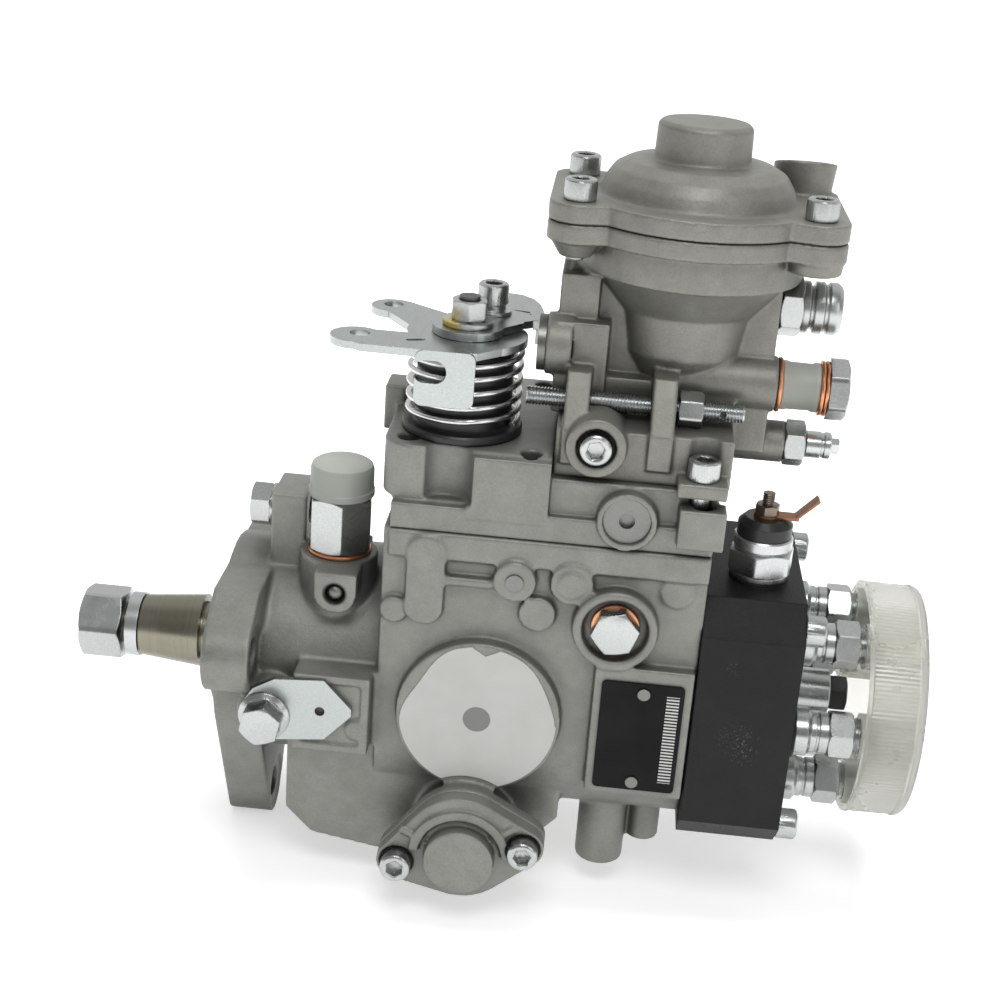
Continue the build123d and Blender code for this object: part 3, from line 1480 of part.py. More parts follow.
# Bare round label, rating plate and its rivets
with BuildPart() as blank_label:
    with BuildSketch(across(badge_x, side_y - badge_height, badge_z)) as label:
        Circle(badge_radius - 1.3)
        with Locations((timer_x - badge_x, timer_z + 2.5 - badge_z)):
            Circle(19.5, mode=Mode.SUBTRACT)
        with Locations((0, badge_radius + 1)):
            Circle(3.6, mode=Mode.SUBTRACT)
    extrude(amount=0.4)

plate_seat_y = side_y - plate_pad_height
with BuildPart() as rating_plate:
    with BuildSketch(across(plate_x, plate_seat_y, plate_z)) as plate:
        RectangleRounded(plate_width, plate_height, 1.5)
    extrude(amount=0.8)

with BuildPart() as plate_rivets:
    for rivet_x, rivet_z in ((0.3, 15.6), (-0.6, -16)):
        round_bar(across(plate_x + rivet_x, plate_seat_y - 0.8, plate_z + rivet_z), 2, 0.7)

# Shaft lock bolt and its loose spacer plate
with BuildPart() as lock_plate:
    with BuildSketch(across(0, lock_seat_y, 0)):
        with BuildLine():
            Polyline(
                (15.6, 5.3),
                (22.5, 9.3),
                (38.3, 10.5),
                (47.4, 1),
                (47.4, -1.4),
                (38.9, -10.6),
                (20, -12.6),
                (13, -8),
                (12.6, 0.5),
                close=True,
            )
        make_face()
        with Locations((lock_x, lock_z)):
            Circle(lock_bolt_radius + running_gap, mode=Mode.SUBTRACT)
        with Locations((37.3, -0.6)):
            Circle(1.6, mode=Mode.SUBTRACT)
    extrude(amount=2)

with BuildPart() as lock_bolt:
    bolt_seat = lock_seat_y - 2
    round_bar(across(lock_x, bolt_seat, lock_z), 8.3, 1.6)
    hex_bar(across(lock_x, bolt_seat - 1.6, lock_z), 12, 6.5, turn=12)
    round_bar(across(lock_x, bolt_seat, lock_z), lock_bolt_radius, -lock_bolt_length)

# Pieces grouped under one name
with BuildPart() as cap_screws:
    add(timer_screws_set.part)
    add(head_screws.part)
    add(boost_screws.part)

with BuildPart() as sealing_plugs:
    add(cover_plug.part)
    add(cup_plug.part)
    add(sealing_balls.part)

with BuildPart() as screw_plugs:
    add(centre_plug.part)
    add(side_plug.part)

with BuildPart() as black_screws:
    add(bleed_screw.part)
    add(head_plug.part)

with BuildPart() as timer_covers:
    add(timer_cover_near.part)
    add(timer_cover_far.part)

with BuildPart() as governor_weights:
    add(governor_carrier.part)
    add(flyweights.part)

with BuildPart() as roller_set:
    add(roller_ring.part)
    add(rollers.part)
    add(timer_pin.part)

with BuildPart() as shaft_set:
    add(drive_shaft.part)
    add(coupling_cross.part)

pieces = {
    "pump_housing": pump_housing,
    "shaft_bush": shaft_bush,
    "shaft_seal": shaft_seal,
    "drive_shaft": shaft_set,
    "shaft_nut": shaft_nut,
    "spring_washer": spring_washer,
    "feed_pump_ring": feed_pump_ring,
    "feed_pump_rotor": feed_pump_rotor,
    "governor_drive_gear": governor_drive_gear,
    "governor_shaft": governor_shaft,
    "governor_weights": governor_weights,
    "governor_sleeve": governor_sleeve,
    "governor_lever": governor_lever,
    "governor_spring": governor_spring,
    "roller_ring": roller_set,
    "cam_plate": cam_plate,
    "plunger": plunger,
    "control_collar": control_collar,
    "timer_piston": timer_piston,
    "timer_spring": timer_spring,
    "timer_covers": timer_covers,
    "distributor_head": distributor_head,
    "cap_screws": cap_screws,
    "screw_plugs": screw_plugs,
    "black_screws": black_screws,
    "sealing_plugs": sealing_plugs,
    "delivery_valve_holders": delivery_valve_holders,
    "transport_cap": transport_cap,
    "shutoff_valve": shutoff_valve,
    "valve_armature": valve_armature,
    "valve_insulator": valve_insulator,
    "cable_lug": cable_lug,
    "valve_terminal": valve_terminal,
    "governor_cover": governor_cover,
    "spring_cup": spring_cup,
    "throttle_shaft": throttle_shaft,
    "throttle_lever": throttle_lever,
    "throttle_top_lever": throttle_top_lever,
    "lever_fasteners": lever_fasteners,
    "throttle_spring": throttle_spring,
    "boost_body": boost_body,
    "boost_diaphragm": boost_diaphragm,
    "boost_pin": boost_pin,
    "boost_spring": boost_spring,
    "boost_lever": boost_lever,
    "boost_cover": boost_cover,
    "hose_union": hose_union,
    "return_bolt": return_bolt,
    "plastic_caps": plastic_caps,
    "copper_washers": copper_washers,
    "adjusting_screws": adjusting_screws,
    "lock_nuts": lock_nuts,
    "inlet_union": inlet_union,
    "relief_valve": relief_valve,
    "blank_label": blank_label,
    "rating_plate": rating_plate,
    "plate_rivets": plate_rivets,
    "lock_plate": lock_plate,
    "lock_bolt": lock_bolt,
}
os.makedirs("parts", exist_ok=True)
for name, piece in pieces.items():
    piece.part.label = name
    export_step(piece.part, f"parts/{name}.step")
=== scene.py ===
import json
from math import cos, pi, radians, sin, sqrt

import bmesh
import bpy
from mathutils import Matrix, Vector


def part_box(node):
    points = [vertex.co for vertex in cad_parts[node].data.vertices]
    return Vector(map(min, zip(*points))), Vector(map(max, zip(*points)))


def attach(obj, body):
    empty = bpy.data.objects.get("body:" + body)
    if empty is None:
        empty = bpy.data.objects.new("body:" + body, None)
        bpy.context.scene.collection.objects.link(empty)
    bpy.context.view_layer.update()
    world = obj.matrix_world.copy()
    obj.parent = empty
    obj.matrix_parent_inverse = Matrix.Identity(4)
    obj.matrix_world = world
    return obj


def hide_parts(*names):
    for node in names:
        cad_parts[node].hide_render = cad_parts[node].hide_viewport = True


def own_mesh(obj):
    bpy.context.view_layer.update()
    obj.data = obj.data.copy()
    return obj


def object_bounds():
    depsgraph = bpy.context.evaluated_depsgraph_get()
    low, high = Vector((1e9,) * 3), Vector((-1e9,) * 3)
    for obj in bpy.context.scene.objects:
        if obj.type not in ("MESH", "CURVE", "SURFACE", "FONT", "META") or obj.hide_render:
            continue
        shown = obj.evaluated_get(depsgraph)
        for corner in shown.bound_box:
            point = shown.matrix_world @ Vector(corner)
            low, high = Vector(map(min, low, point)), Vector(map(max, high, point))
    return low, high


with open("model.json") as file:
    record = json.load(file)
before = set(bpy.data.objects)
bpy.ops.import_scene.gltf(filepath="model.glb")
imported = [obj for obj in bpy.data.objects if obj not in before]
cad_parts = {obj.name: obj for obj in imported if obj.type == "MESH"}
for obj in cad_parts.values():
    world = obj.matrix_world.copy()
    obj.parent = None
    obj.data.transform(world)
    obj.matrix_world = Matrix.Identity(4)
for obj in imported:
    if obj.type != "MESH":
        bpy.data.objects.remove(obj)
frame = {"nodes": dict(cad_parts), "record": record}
nodes = frame["nodes"]
cad_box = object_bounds()
MM = 0.001

# Places of the main axes and faces, in millimetres
throttle_axis = (74.3, -18)
clamp_screw_axis = (80.3, -2.5)
inlet_axis = (36.8, -15)
valve_axis = (172.6, -14)
boost_axis = (140.5, 0)
return_axis = (-10, 109.7)
side_plug = (127.9, 36.3)
label_middle = (87.4, -45)
holder_circle = 29
outlets = 6
outlet_angles = [radians(360 / outlets * index) for index in range(outlets)]


# Materials: small helpers for node trees
def link_value(tree, value, socket):
    """Link a socket to a socket, or set a plain number or colour on it."""
    if isinstance(value, bpy.types.NodeSocket):
        tree.links.new(value, socket)
    elif isinstance(value, (int, float)):
        socket.default_value = value
    else:
        socket.default_value = (*value, 1)


class Tree:
    """A material's node tree with short calls for the nodes used here."""

    def __init__(self, name):
        self.material = bpy.data.materials.new(name)
        self.material.use_nodes = True
        self.nodes = self.material.node_tree.nodes
        self.links = self.material.node_tree.links
        self.shader = self.nodes["Principled BSDF"]
        self.place = self.nodes.new("ShaderNodeTexCoord").outputs["Object"]

    def link(self, source, target):
        self.links.new(source, target)

    def scaled(self, x, y, z):
        """Object coordinates stretched by a factor along each axis."""
        node = self.nodes.new("ShaderNodeMapping")
        node.inputs["Scale"].default_value = (x, y, z)
        self.link(self.place, node.inputs["Vector"])
        return node.outputs["Vector"]

    def noise(self, scale, detail=3.0, rough=0.5, vector=None):
        node = self.nodes.new("ShaderNodeTexNoise")
        node.inputs["Scale"].default_value = scale
        node.inputs["Detail"].default_value = detail
        node.inputs["Roughness"].default_value = rough
        self.link(vector or self.place, node.inputs["Vector"])
        return node.outputs["Fac"]

    def ramp(self, source, stops):
        """Colour ramp: stops are position and grey level or colour."""
        node = self.nodes.new("ShaderNodeValToRGB")
        ramp = node.color_ramp
        while len(ramp.elements) < len(stops):
            ramp.elements.new(0.5)
        for element, (place, value) in zip(ramp.elements, stops):
            element.position = place
            colour = (value, value, value) if isinstance(value, (int, float)) else value
            element.color = (*colour, 1)
        self.link(source, node.inputs["Fac"])
        return node.outputs["Color"]

    def mix(self, factor, first, second, blend="MIX"):
        node = self.nodes.new("ShaderNodeMix")
        node.data_type = "RGBA"
        node.blend_type = blend
        for value, index in ((factor, 0), (first, 6), (second, 7)):
            link_value(self, value, node.inputs[index])
        return node.outputs[2]

    def math(self, operation, first, second=None):
        node = self.nodes.new("ShaderNodeMath")
        node.operation = operation
        link_value(self, first, node.inputs[0])
        if second is not None:
            link_value(self, second, node.inputs[1])
        return node.outputs[0]

    def pointiness(self):
        return self.nodes.new("ShaderNodeNewGeometry").outputs["Pointiness"]

    def part(self, axis):
        """One coordinate of the place, in metres."""
        node = self.nodes.new("ShaderNodeSeparateXYZ")
        self.link(self.place, node.inputs[0])
        return node.outputs[axis]

    def near(self, point, reach, hard=0.55):
        """One near a point given in millimetres, falling to nothing at the reach."""
        node = self.nodes.new("ShaderNodeVectorMath")
        node.operation = "DISTANCE"
        self.link(self.place, node.inputs[0])
        node.inputs[1].default_value = tuple(MM * value for value in point)
        return self.ramp(self.math("DIVIDE", node.outputs["Value"], reach * MM), [(hard, 1.0), (1.0, 0.0)])

    def hollows(self, distance):
        """One in the open, less in corners and recesses within the distance in millimetres; the mask for
        painted shade.
        """
        node = self.nodes.new("ShaderNodeAmbientOcclusion")
        node.samples = 6
        node.inputs["Distance"].default_value = distance * MM
        return node.outputs["AO"]

    def soft_edges(self, radius):
        """Shade sharp edges as if they were rounded."""
        node = self.nodes.new("ShaderNodeBevel")
        node.samples = 4
        node.inputs["Radius"].default_value = radius * MM
        self.link(node.outputs["Normal"], self.shader.inputs["Normal"])

    def bump(self, height, strength, distance):
        node = self.nodes.new("ShaderNodeBump")
        node.inputs["Strength"].default_value = strength
        node.inputs["Distance"].default_value = distance
        self.link(height, node.inputs["Height"])
        previous = self.shader.inputs["Normal"]
        if previous.is_linked:
            self.link(previous.links[0].from_socket, node.inputs["Normal"])
        self.link(node.outputs["Normal"], self.shader.inputs["Normal"])

    def colour(self, value):
        self.link(value, self.shader.inputs["Base Color"])

    def rough(self, value):
        self.link(value, self.shader.inputs["Roughness"])

    def metal(self, amount):
        self.shader.inputs["Metallic"].default_value = amount


def cast_metal(name, base, warm, stains=()):
    """Blasted die casting: fine grain, faint clouds, rubbed edges, painted shade in creases and recesses, and
    painted shadows round given points.
    """
    tree = Tree(name)
    tree.metal(0.55)
    clouds = tree.noise(40, 4, 0.55)
    grain = tree.noise(2300, 3, 0.65)
    pits = tree.noise(760, 2, 0.5)
    tone = tree.mix(tree.ramp(clouds, [(0.3, 0.0), (0.7, 1.0)]), base, warm)
    tone = tree.mix(0.6, tone, tree.ramp(grain, [(0.34, 0.72), (0.66, 1.12)]), "MULTIPLY")
    tone = tree.mix(0.35, tone, tree.ramp(tree.noise(150, 5, 0.7), [(0.35, 0.68), (0.62, 1.08)]), "MULTIPLY")
    # Lighter on convex edges as rubbed wear, and darker in concave creases as painted shade.
    edges = tree.ramp(tree.pointiness(), [(0.40, 0.35), (0.485, 1.0), (0.53, 1.0), (0.60, 1.5)])
    tone = tree.mix(0.85, tone, edges, "MULTIPLY")
    # Painted shade: darker in corners and recesses within 16 mm of other surfaces.
    tone = tree.mix(0.8, tone, tree.ramp(tree.hollows(16), [(0.25, 0.35), (0.85, 1.0)]), "MULTIPLY")
    # Painted shadow: near black round each given point, for the pocket round the ball plug.
    for point, reach in stains:
        tone = tree.mix(tree.near(point, reach, 0.8), tone, (0.02, 0.02, 0.018))
    tree.colour(tone)
    tree.rough(tree.ramp(grain, [(0.3, 0.40), (0.7, 0.58)]))
    tree.bump(grain, 0.35, 0.00014)
    tree.bump(pits, 0.25, 0.0003)
    return tree


def bright_metal(name, base, low, high, stretch=(1, 1, 1), bump=0.06, edge=0.25):
    """Plated or machined metal with faint drawn lines and slightly uneven gloss."""
    tree = Tree(name)
    tree.metal(1.0)
    tree.soft_edges(edge)
    lines = tree.noise(1500, 2, 0.5, tree.scaled(*stretch))
    smudge = tree.noise(70, 3, 0.6)
    tone = tree.mix(0.3, base, tree.ramp(lines, [(0.3, 0.65), (0.7, 1.05)]), "MULTIPLY")
    tone = tree.mix(0.3, tone, tree.ramp(smudge, [(0.35, 0.8), (0.65, 1.0)]), "MULTIPLY")
    tree.colour(tone)
    tree.rough(tree.ramp(smudge, [(0.3, low), (0.7, high)]))
    tree.bump(lines, bump, 0.0001)
    return tree


def dull_skin(name, base, rough_low, rough_high, bump, metal=0.0, worn=None, edge=0.4):
    """Black steel, paint, rubber or plastic with a fine moulded or etched grain."""
    tree = Tree(name)
    tree.metal(metal)
    tree.soft_edges(edge)
    grain = tree.noise(1500, 4, 0.6)
    light = tuple(1.35 * channel + 0.002 for channel in base)
    tone = tree.mix(tree.ramp(tree.noise(60, 3, 0.5), [(0.35, 0.0), (0.65, 1.0)]), base, light)
    if worn:
        scuffs = tree.ramp(tree.noise(520, 6, 0.75), [(0.66, 0.0), (0.72, 1.0)])
        patch = tree.ramp(tree.noise(45, 2, 0.5), [(0.56, 0.0), (0.66, 1.0)])
        tone = tree.mix(tree.math("MULTIPLY", scuffs, patch), tone, worn)
    tree.colour(tone)
    tree.rough(tree.ramp(grain, [(0.3, rough_low), (0.7, rough_high)]))
    tree.bump(grain, bump, 0.0002)
    return tree


def clear_skin(name, tint, transmission, rough_low, rough_high):
    """Milky see-through moulding with faint flow clouds."""
    tree = Tree(name)
    clouds = tree.noise(55, 3, 0.5)
    darker = tuple(0.93 * channel for channel in tint)
    tree.colour(tree.mix(tree.ramp(clouds, [(0.3, 0.0), (0.7, 1.0)]), tint, darker))
    tree.rough(tree.ramp(clouds, [(0.3, rough_low), (0.7, rough_high)]))
    tree.shader.inputs["Transmission Weight"].default_value = transmission
    tree.shader.inputs["IOR"].default_value = 1.42
    tree.bump(tree.noise(300, 2, 0.5), 0.1, 0.0002)
    return tree


dab_yellow = (0.52, 0.37, 0.05)


def dabbed(tree, points, reach):
    """Brush dabs of yellow marking paint over a finished look."""
    colour = tree.shader.inputs["Base Color"].links[0].from_socket
    rough = tree.shader.inputs["Roughness"].links[0].from_socket
    spread = tree.ramp(tree.noise(420, 4, 0.65), [(0.42, 0.0), (0.52, 1.0)])
    metal = 0.0
    for point in points:
        mask = tree.math("MULTIPLY", tree.near(point, reach), spread)
        colour = tree.mix(mask, colour, dab_yellow)
        rough = tree.mix(mask, rough, (0.45, 0.45, 0.45))
        metal = tree.math("MAXIMUM", metal, mask)
    tree.colour(colour)
    tree.rough(rough)
    base = tree.shader.inputs["Metallic"].default_value
    tree.link(tree.math("MULTIPLY", tree.math("SUBTRACT", 1.0, metal), base), tree.shader.inputs["Metallic"])
    return tree


def paper():
    """Pale label stock with barely uneven tone, and a plain grey dot in its middle."""
    tree = Tree("label_white")
    stock = tree.ramp(tree.noise(90, 3, 0.5), [(0.3, (0.66, 0.67, 0.64)), (0.7, (0.71, 0.72, 0.69))])
    tree.colour(tree.mix(tree.near((87.2, -45, 1.2), 4.5, 0.96), stock, (0.27, 0.27, 0.26)))
    tree.rough(tree.ramp(tree.noise(900, 2, 0.5), [(0.3, 0.5), (0.7, 0.62)]))
    tree.bump(tree.noise(1400, 2, 0.5), 0.04, 0.0001)
    return tree


def scuffed_head():
    """Black phosphated steel with a few pale rubbed specks on its near face."""
    tree = dull_skin("black_head", (0.0055, 0.0055, 0.0052), 0.45, 0.6, 0.35, 0.0, (0.05, 0.05, 0.048), 0.9)
    tree.shader.inputs["Specular IOR Level"].default_value = 0.3
    colour = tree.shader.inputs["Base Color"].links[0].from_socket
    specks = tree.ramp(tree.noise(1300, 7, 0.85), [(0.56, 0.0), (0.66, 1.0)])
    rubbed = (0.3, 0.3, 0.29)
    for point, reach in (((170, -42, 1), 8), ((173, -42, -4), 5), ((166, -42, 26), 3)):
        mask = tree.math("MULTIPLY", tree.near(point, reach, 0.1), specks)
        colour = tree.mix(mask, colour, rubbed)
    tree.colour(colour)
    return tree


def striped_plate():
    """Satin black plate, with plain even stripes on a pale strip along its right edge."""
    tree = dull_skin("plate_black", (0.008, 0.008, 0.009), 0.42, 0.52, 0.04, edge=0.3)
    tree.shader.inputs["Specular IOR Level"].default_value = 0.12
    colour = tree.shader.inputs["Base Color"].links[0].from_socket
    across = tree.part("X")
    height = tree.part("Z")
    strip_left, strip_right = 0.1462, 0.1502
    strip_middle, strip_half_height = 0.0003, 0.0155
    stripes_per_metre = 900
    right_of = tree.math("GREATER_THAN", across, strip_left)
    left_of = tree.math("LESS_THAN", across, strip_right)
    inside = tree.math("MULTIPLY", right_of, left_of)
    offset = tree.math("ABSOLUTE", tree.math("SUBTRACT", height, strip_middle))
    level = tree.math("LESS_THAN", offset, strip_half_height)
    inside = tree.math("MULTIPLY", inside, level)
    phase = tree.math("FRACT", tree.math("MULTIPLY", height, stripes_per_metre))
    stripe = tree.math("GREATER_THAN", phase, 0.5)
    print_colour = tree.mix(stripe, (0.78, 0.79, 0.76), (0.03, 0.03, 0.03))
    tree.colour(tree.mix(inside, colour, print_colour))
    return tree


zinc = (0.50, 0.52, 0.51)
looks = {
    "cast_housing": cast_metal(
        # Painted shadow in the pocket round the ball plug.
        "cast_housing", (0.27, 0.272, 0.247), (0.315, 0.317, 0.292), [((38.7, -35.4, 35), 4.3)]
    ),
    "cast_boost": dabbed(
        cast_metal("cast_boost", (0.262, 0.26, 0.232), (0.31, 0.307, 0.277)), [(137, -38, 108)], 4
    ),
    "zinc_bright": bright_metal("zinc_bright", zinc, 0.2, 0.34, edge=0.6),
    "zinc_dabbed": dabbed(
        bright_metal("zinc_dabbed", zinc, 0.2, 0.34, edge=0.6), [(69, -23.5, 123.6)], 5.5
    ),
    "zinc_satin": bright_metal("zinc_satin", (0.56, 0.58, 0.58), 0.22, 0.34),
    "zinc_plate": bright_metal("zinc_plate", (0.46, 0.49, 0.48), 0.24, 0.36, (1, 0.1, 1), 0.1),
    "ground_steel": bright_metal("ground_steel", (0.27, 0.255, 0.20), 0.24, 0.34, (1, 0.02, 0.02), 0.25),
    "machined_steel": bright_metal("machined_steel", (0.50, 0.50, 0.50), 0.25, 0.4),
    "plug_steel": bright_metal("plug_steel", (0.23, 0.23, 0.22), 0.34, 0.48),
    "rivet_alloy": bright_metal("rivet_alloy", (0.22, 0.22, 0.21), 0.34, 0.48),
    "spring_bright": bright_metal("spring_bright", (0.66, 0.66, 0.66), 0.12, 0.24),
    "dark_steel": bright_metal("dark_steel", (0.12, 0.12, 0.12), 0.3, 0.45),
    "terminal_steel": bright_metal("terminal_steel", (0.24, 0.20, 0.16), 0.3, 0.45),
    "copper": bright_metal("copper", (0.72, 0.33, 0.17), 0.24, 0.42),
    "copper_dark": bright_metal("copper_dark", (0.30, 0.15, 0.085), 0.34, 0.5),
    "bronze": bright_metal("bronze", (0.55, 0.42, 0.25), 0.3, 0.45),
    "black_head": scuffed_head(),
    "black_steel": dull_skin("black_steel", (0.016, 0.016, 0.016), 0.32, 0.48, 0.15, 0.5),
    "black_plastic": dull_skin("black_plastic", (0.012, 0.012, 0.012), 0.3, 0.46, 0.1),
    "seal_rubber": dull_skin("seal_rubber", (0.02, 0.02, 0.02), 0.6, 0.75, 0.2),
    "label_white": paper(),
    "plate_black": striped_plate(),
    "clear_plastic": clear_skin("clear_plastic", (0.93, 0.93, 0.88), 0.86, 0.24, 0.36),
    "milky_plastic": clear_skin("milky_plastic", (0.58, 0.60, 0.55), 0.3, 0.34, 0.46),
}
slot_looks = {
    "cast_covers": "cast_housing", "cast_cover": "cast_housing", "cast_boost_cover": "cast_boost",
    "bearing_bronze": "bronze", "spring_steel": "machined_steel",
}
node_looks = {"cable_lug": "copper_dark"}
slot_of = {entry["node"]: entry["material_slot"] for entry in frame["record"]["subparts"]}
for node, piece in nodes.items():
    look = looks[node_looks.get(node, slot_looks.get(slot_of[node], slot_of[node]))].material
    for index in range(len(piece.material_slots)):
        piece.material_slots[index].link = "OBJECT"
        piece.material_slots[index].material = look
    if not piece.material_slots:
        piece.data.materials.append(look)


# Mesh helpers: every piece is built in millimetres about its own axis, then carried to its place
def axes_at(origin, normal, across):
    """Matrix that carries local X and Z to two world directions, from millimetres to metres."""
    z = Vector(normal).normalized()
    x = Vector(across)
    x = (x - z * x.dot(z)).normalized()
    y = z.cross(x)
    turn = Matrix((x, y, z)).transposed().to_4x4()
    return Matrix.Translation(Vector(origin) * MM) @ turn @ Matrix.Scale(MM, 4)


def toward_viewer(x, y, z):
    return axes_at((x, y, z), (0, -1, 0), (1, 0, 0))


def toward_head(x, y, z):
    return axes_at((x, y, z), (1, 0, 0), (0, 1, 0))


def toward_nut(x, y, z):
    return axes_at((x, y, z), (-1, 0, 0), (0, 1, 0))


def toward_top(x, y, z):
    return axes_at((x, y, z), (0, 0, 1), (1, 0, 0))


def away(x, y, z):
    return axes_at((x, y, z), (0, 1, 0), (1, 0, 0))


def skin(bm, rows, next_rows):
    """Four-sided faces between each row of points and the next."""
    for lower, upper in zip(rows, next_rows):
        count = len(lower)
        for index in range(count):
            after = (index + 1) % count
            bm.faces.new((lower[index], lower[after], upper[after], upper[index]))


def end_caps(bm, rows):
    bm.faces.new(list(reversed(rows[0])))
    bm.faces.new(rows[-1])


def ring_rows(bm, profile, radius_at, segments):
    """Rows of points round an axis: profile rows are height and a key, radius_at gives radius and lift."""
    rows = []
    for height, key in profile:
        row = []
        for index in range(segments):
            angle = 2 * pi * index / segments
            radius, lift = radius_at(key, angle)
            row.append(bm.verts.new((radius * cos(angle), radius * sin(angle), height + lift)))
        rows.append(row)
    return rows


def rings(bm, profile, radius_at, segments=48):
    """Close a skin over rings, with a face at each end."""
    rows = ring_rows(bm, profile, radius_at, segments)
    skin(bm, rows, rows[1:])
    end_caps(bm, rows)


def loops(bm, profile, radius_at, segments=48):
    """Close a skin over rings that run round to meet themselves, for forms with a hole."""
    rows = ring_rows(bm, profile, radius_at, segments)
    skin(bm, rows, rows[1:] + rows[:1])


def turned(bm, profile, segments=48):
    """A turned form from radius and height pairs, closed at both ends."""
    rings(bm, [(height, radius) for radius, height in profile], lambda key, angle: (key, 0), segments)


def tube(bm, profile, segments=48):
    """A turned form with a hole, from radius and height pairs that run round its section."""
    loops(bm, [(height, radius) for radius, height in profile], lambda key, angle: (key, 0), segments)


def prism(bm, outline, height):
    """A plate with a straight edge all round, from its outline."""
    rows = [[bm.verts.new((x, y, level)) for x, y in outline] for level in (0, height)]
    end_caps(bm, rows)
    skin(bm, rows, rows[1:])


hex_face_share = 0.955
hex_rim_share = 0.985
hex_corner_slope = 0.55


def hexagon(flats, angle):
    """Radius of a hexagon at an angle."""
    wedge = (angle + pi / 6) % (pi / 3) - pi / 6
    return flats / 2 / cos(wedge)


def hex_form(bm, flats, height, start=0.0, lower=True, upper=True, turn=0.0, segments=72):
    """A hexagon bar whose corners are turned off by a cone at either end."""
    reach = flats / 2

    def radius_at(key, angle):
        side, part = key
        full = hexagon(flats, angle + turn)
        if part == "rim":
            return full, -side * (full - reach * hex_rim_share) * hex_corner_slope if side else 0
        if part == "face":
            return reach * hex_face_share, 0
        return full, 0

    profile = []
    if lower:
        profile += [(start, (-1, "face")), (start, (-1, "rim"))]
    else:
        profile += [(start, (0, "rim"))]
    if upper:
        profile += [(start + height, (1, "rim")), (start + height, (1, "face"))]
    else:
        profile += [(start + height, (0, "rim"))]
    rings(bm, profile, radius_at, segments)


def threaded(bm, radius, start, end, pitch, segments=28, depth=None):
    """A screw thread as a real helix between two heights."""
    depth = depth or 0.61 * pitch
    steps = max(2, int((end - start) / pitch * 6))
    heights = [start + (end - start) * index / steps for index in range(steps + 1)]

    def radius_at(height, angle):
        phase = (height / pitch - angle / (2 * pi)) % 1.0
        groove = abs(2 * phase - 1)
        fade = min(1.0, (height - start) / pitch + 0.25, (end - height) / pitch + 0.25)
        return radius - depth * groove * fade - (1 - min(1, fade + 0.35)) * depth * 0.7, 0

    rings(bm, [(height, height) for height in heights], radius_at, segments)


def socket_head(bm, radius, height, flats, depth, segments=72, knurl=0.12):
    """A cap screw head with a fine knurl, a bevelled rim and a hexagon socket."""
    def radius_at(key, angle):
        kind, value = key
        if kind == "knurl":
            return value + knurl * (0.5 + 0.5 * cos(36 * angle)) - knurl, 0
        if kind == "hex":
            return hexagon(value, angle), 0
        return value, 0

    profile = [
        (0, ("round", radius - 0.3)), (0.3, ("knurl", radius)), (height - 0.9, ("knurl", radius)),
        (height - 0.6, ("round", radius - 0.1)), (height - 0.1, ("round", radius - 0.6)),
        (height, ("round", radius - 0.9)), (height, ("round", flats / 2 + 0.75)),
        (height - 0.35, ("hex", flats)), (height - depth, ("hex", flats)),
        (height - depth - 0.3, ("round", 0.4)),
    ]
    rings(bm, profile, radius_at, segments)


smooth_angle = 32


def finish_piece(name, bm, body, look, stands_for):
    """Turn a bmesh in metres into a piece that rides on a body and stands for CAD nodes."""
    bmesh.ops.recalc_face_normals(bm, faces=bm.faces)
    mesh = bpy.data.meshes.new(name)
    bm.to_mesh(mesh)
    bm.free()
    for polygon in mesh.polygons:
        polygon.use_smooth = True
    mesh.set_sharp_from_angle(angle=radians(smooth_angle))
    piece = bpy.data.objects.new(name, mesh)
    bpy.context.scene.collection.objects.link(piece)
    piece.data.materials.append(looks[look].material)
    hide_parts(*stands_for)
    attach(piece, body)
    return piece


def carried(target, matrix, build, *args, **options):
    """Build a form in millimetres and add it to a mesh at its place."""
    part = bmesh.new()
    build(part, *args, **options)
    part.transform(matrix)
    mesh = bpy.data.meshes.new("part")
    part.to_mesh(mesh)
    part.free()
    target.from_mesh(mesh)
    bpy.data.meshes.remove(mesh)


# Camera at the photo's place
def set_camera():
    right = Vector((0.994291, 0.080863, 0.069617))
    down = Vector((0.094576, -0.365808, -0.925872))
    forward = Vector((-0.049402, 0.927171, -0.371368))
    data = bpy.data.cameras.new("camera")
    lens_ratio = 1.713
    data.sensor_width = 36
    data.lens = data.sensor_width * lens_ratio
    data.clip_start = 0.01
    camera = bpy.data.objects.new("camera", data)
    turn = Matrix((right, -down, -forward)).transposed().to_4x4()
    camera.matrix_world = Matrix.Translation((0.1148816, -0.5229486, 0.267826)) @ turn
    bpy.context.scene.collection.objects.link(camera)
    bpy.context.scene.camera = camera


def area_light(name, place, aim, size, power, mirrored=True):
    """A soft rectangular lamp; the ones that aren't mirrored leave no reflection on metal."""
    data = bpy.data.lights.new(name, "AREA")
    data.shape = "RECTANGLE"
    data.size, data.size_y = size
    data.energy = power
    lamp = bpy.data.objects.new(name, data)
    lamp.visible_glossy = mirrored
    lamp.location = place
    lamp.rotation_euler = (Vector(aim) - Vector(place)).to_track_quat("-Z", "Y").to_euler()
    bpy.context.scene.collection.objects.link(lamp)


def blended(tree, factor, first, second):
    """A value that runs from first to second with the factor."""
    node = tree.nodes.new("ShaderNodeMix")
    node.data_type = "FLOAT"
    for value, index in ((factor, 0), (first, 2), (second, 3)):
        link_value(tree, value, node.inputs[index])
    return node.outputs[0]


def greater(tree, first, second):
    node = tree.nodes.new("ShaderNodeMath")
    node.operation = "MAXIMUM"
    link_value(tree, first, node.inputs[0])
    link_value(tree, second, node.inputs[1])
    return node.outputs[0]


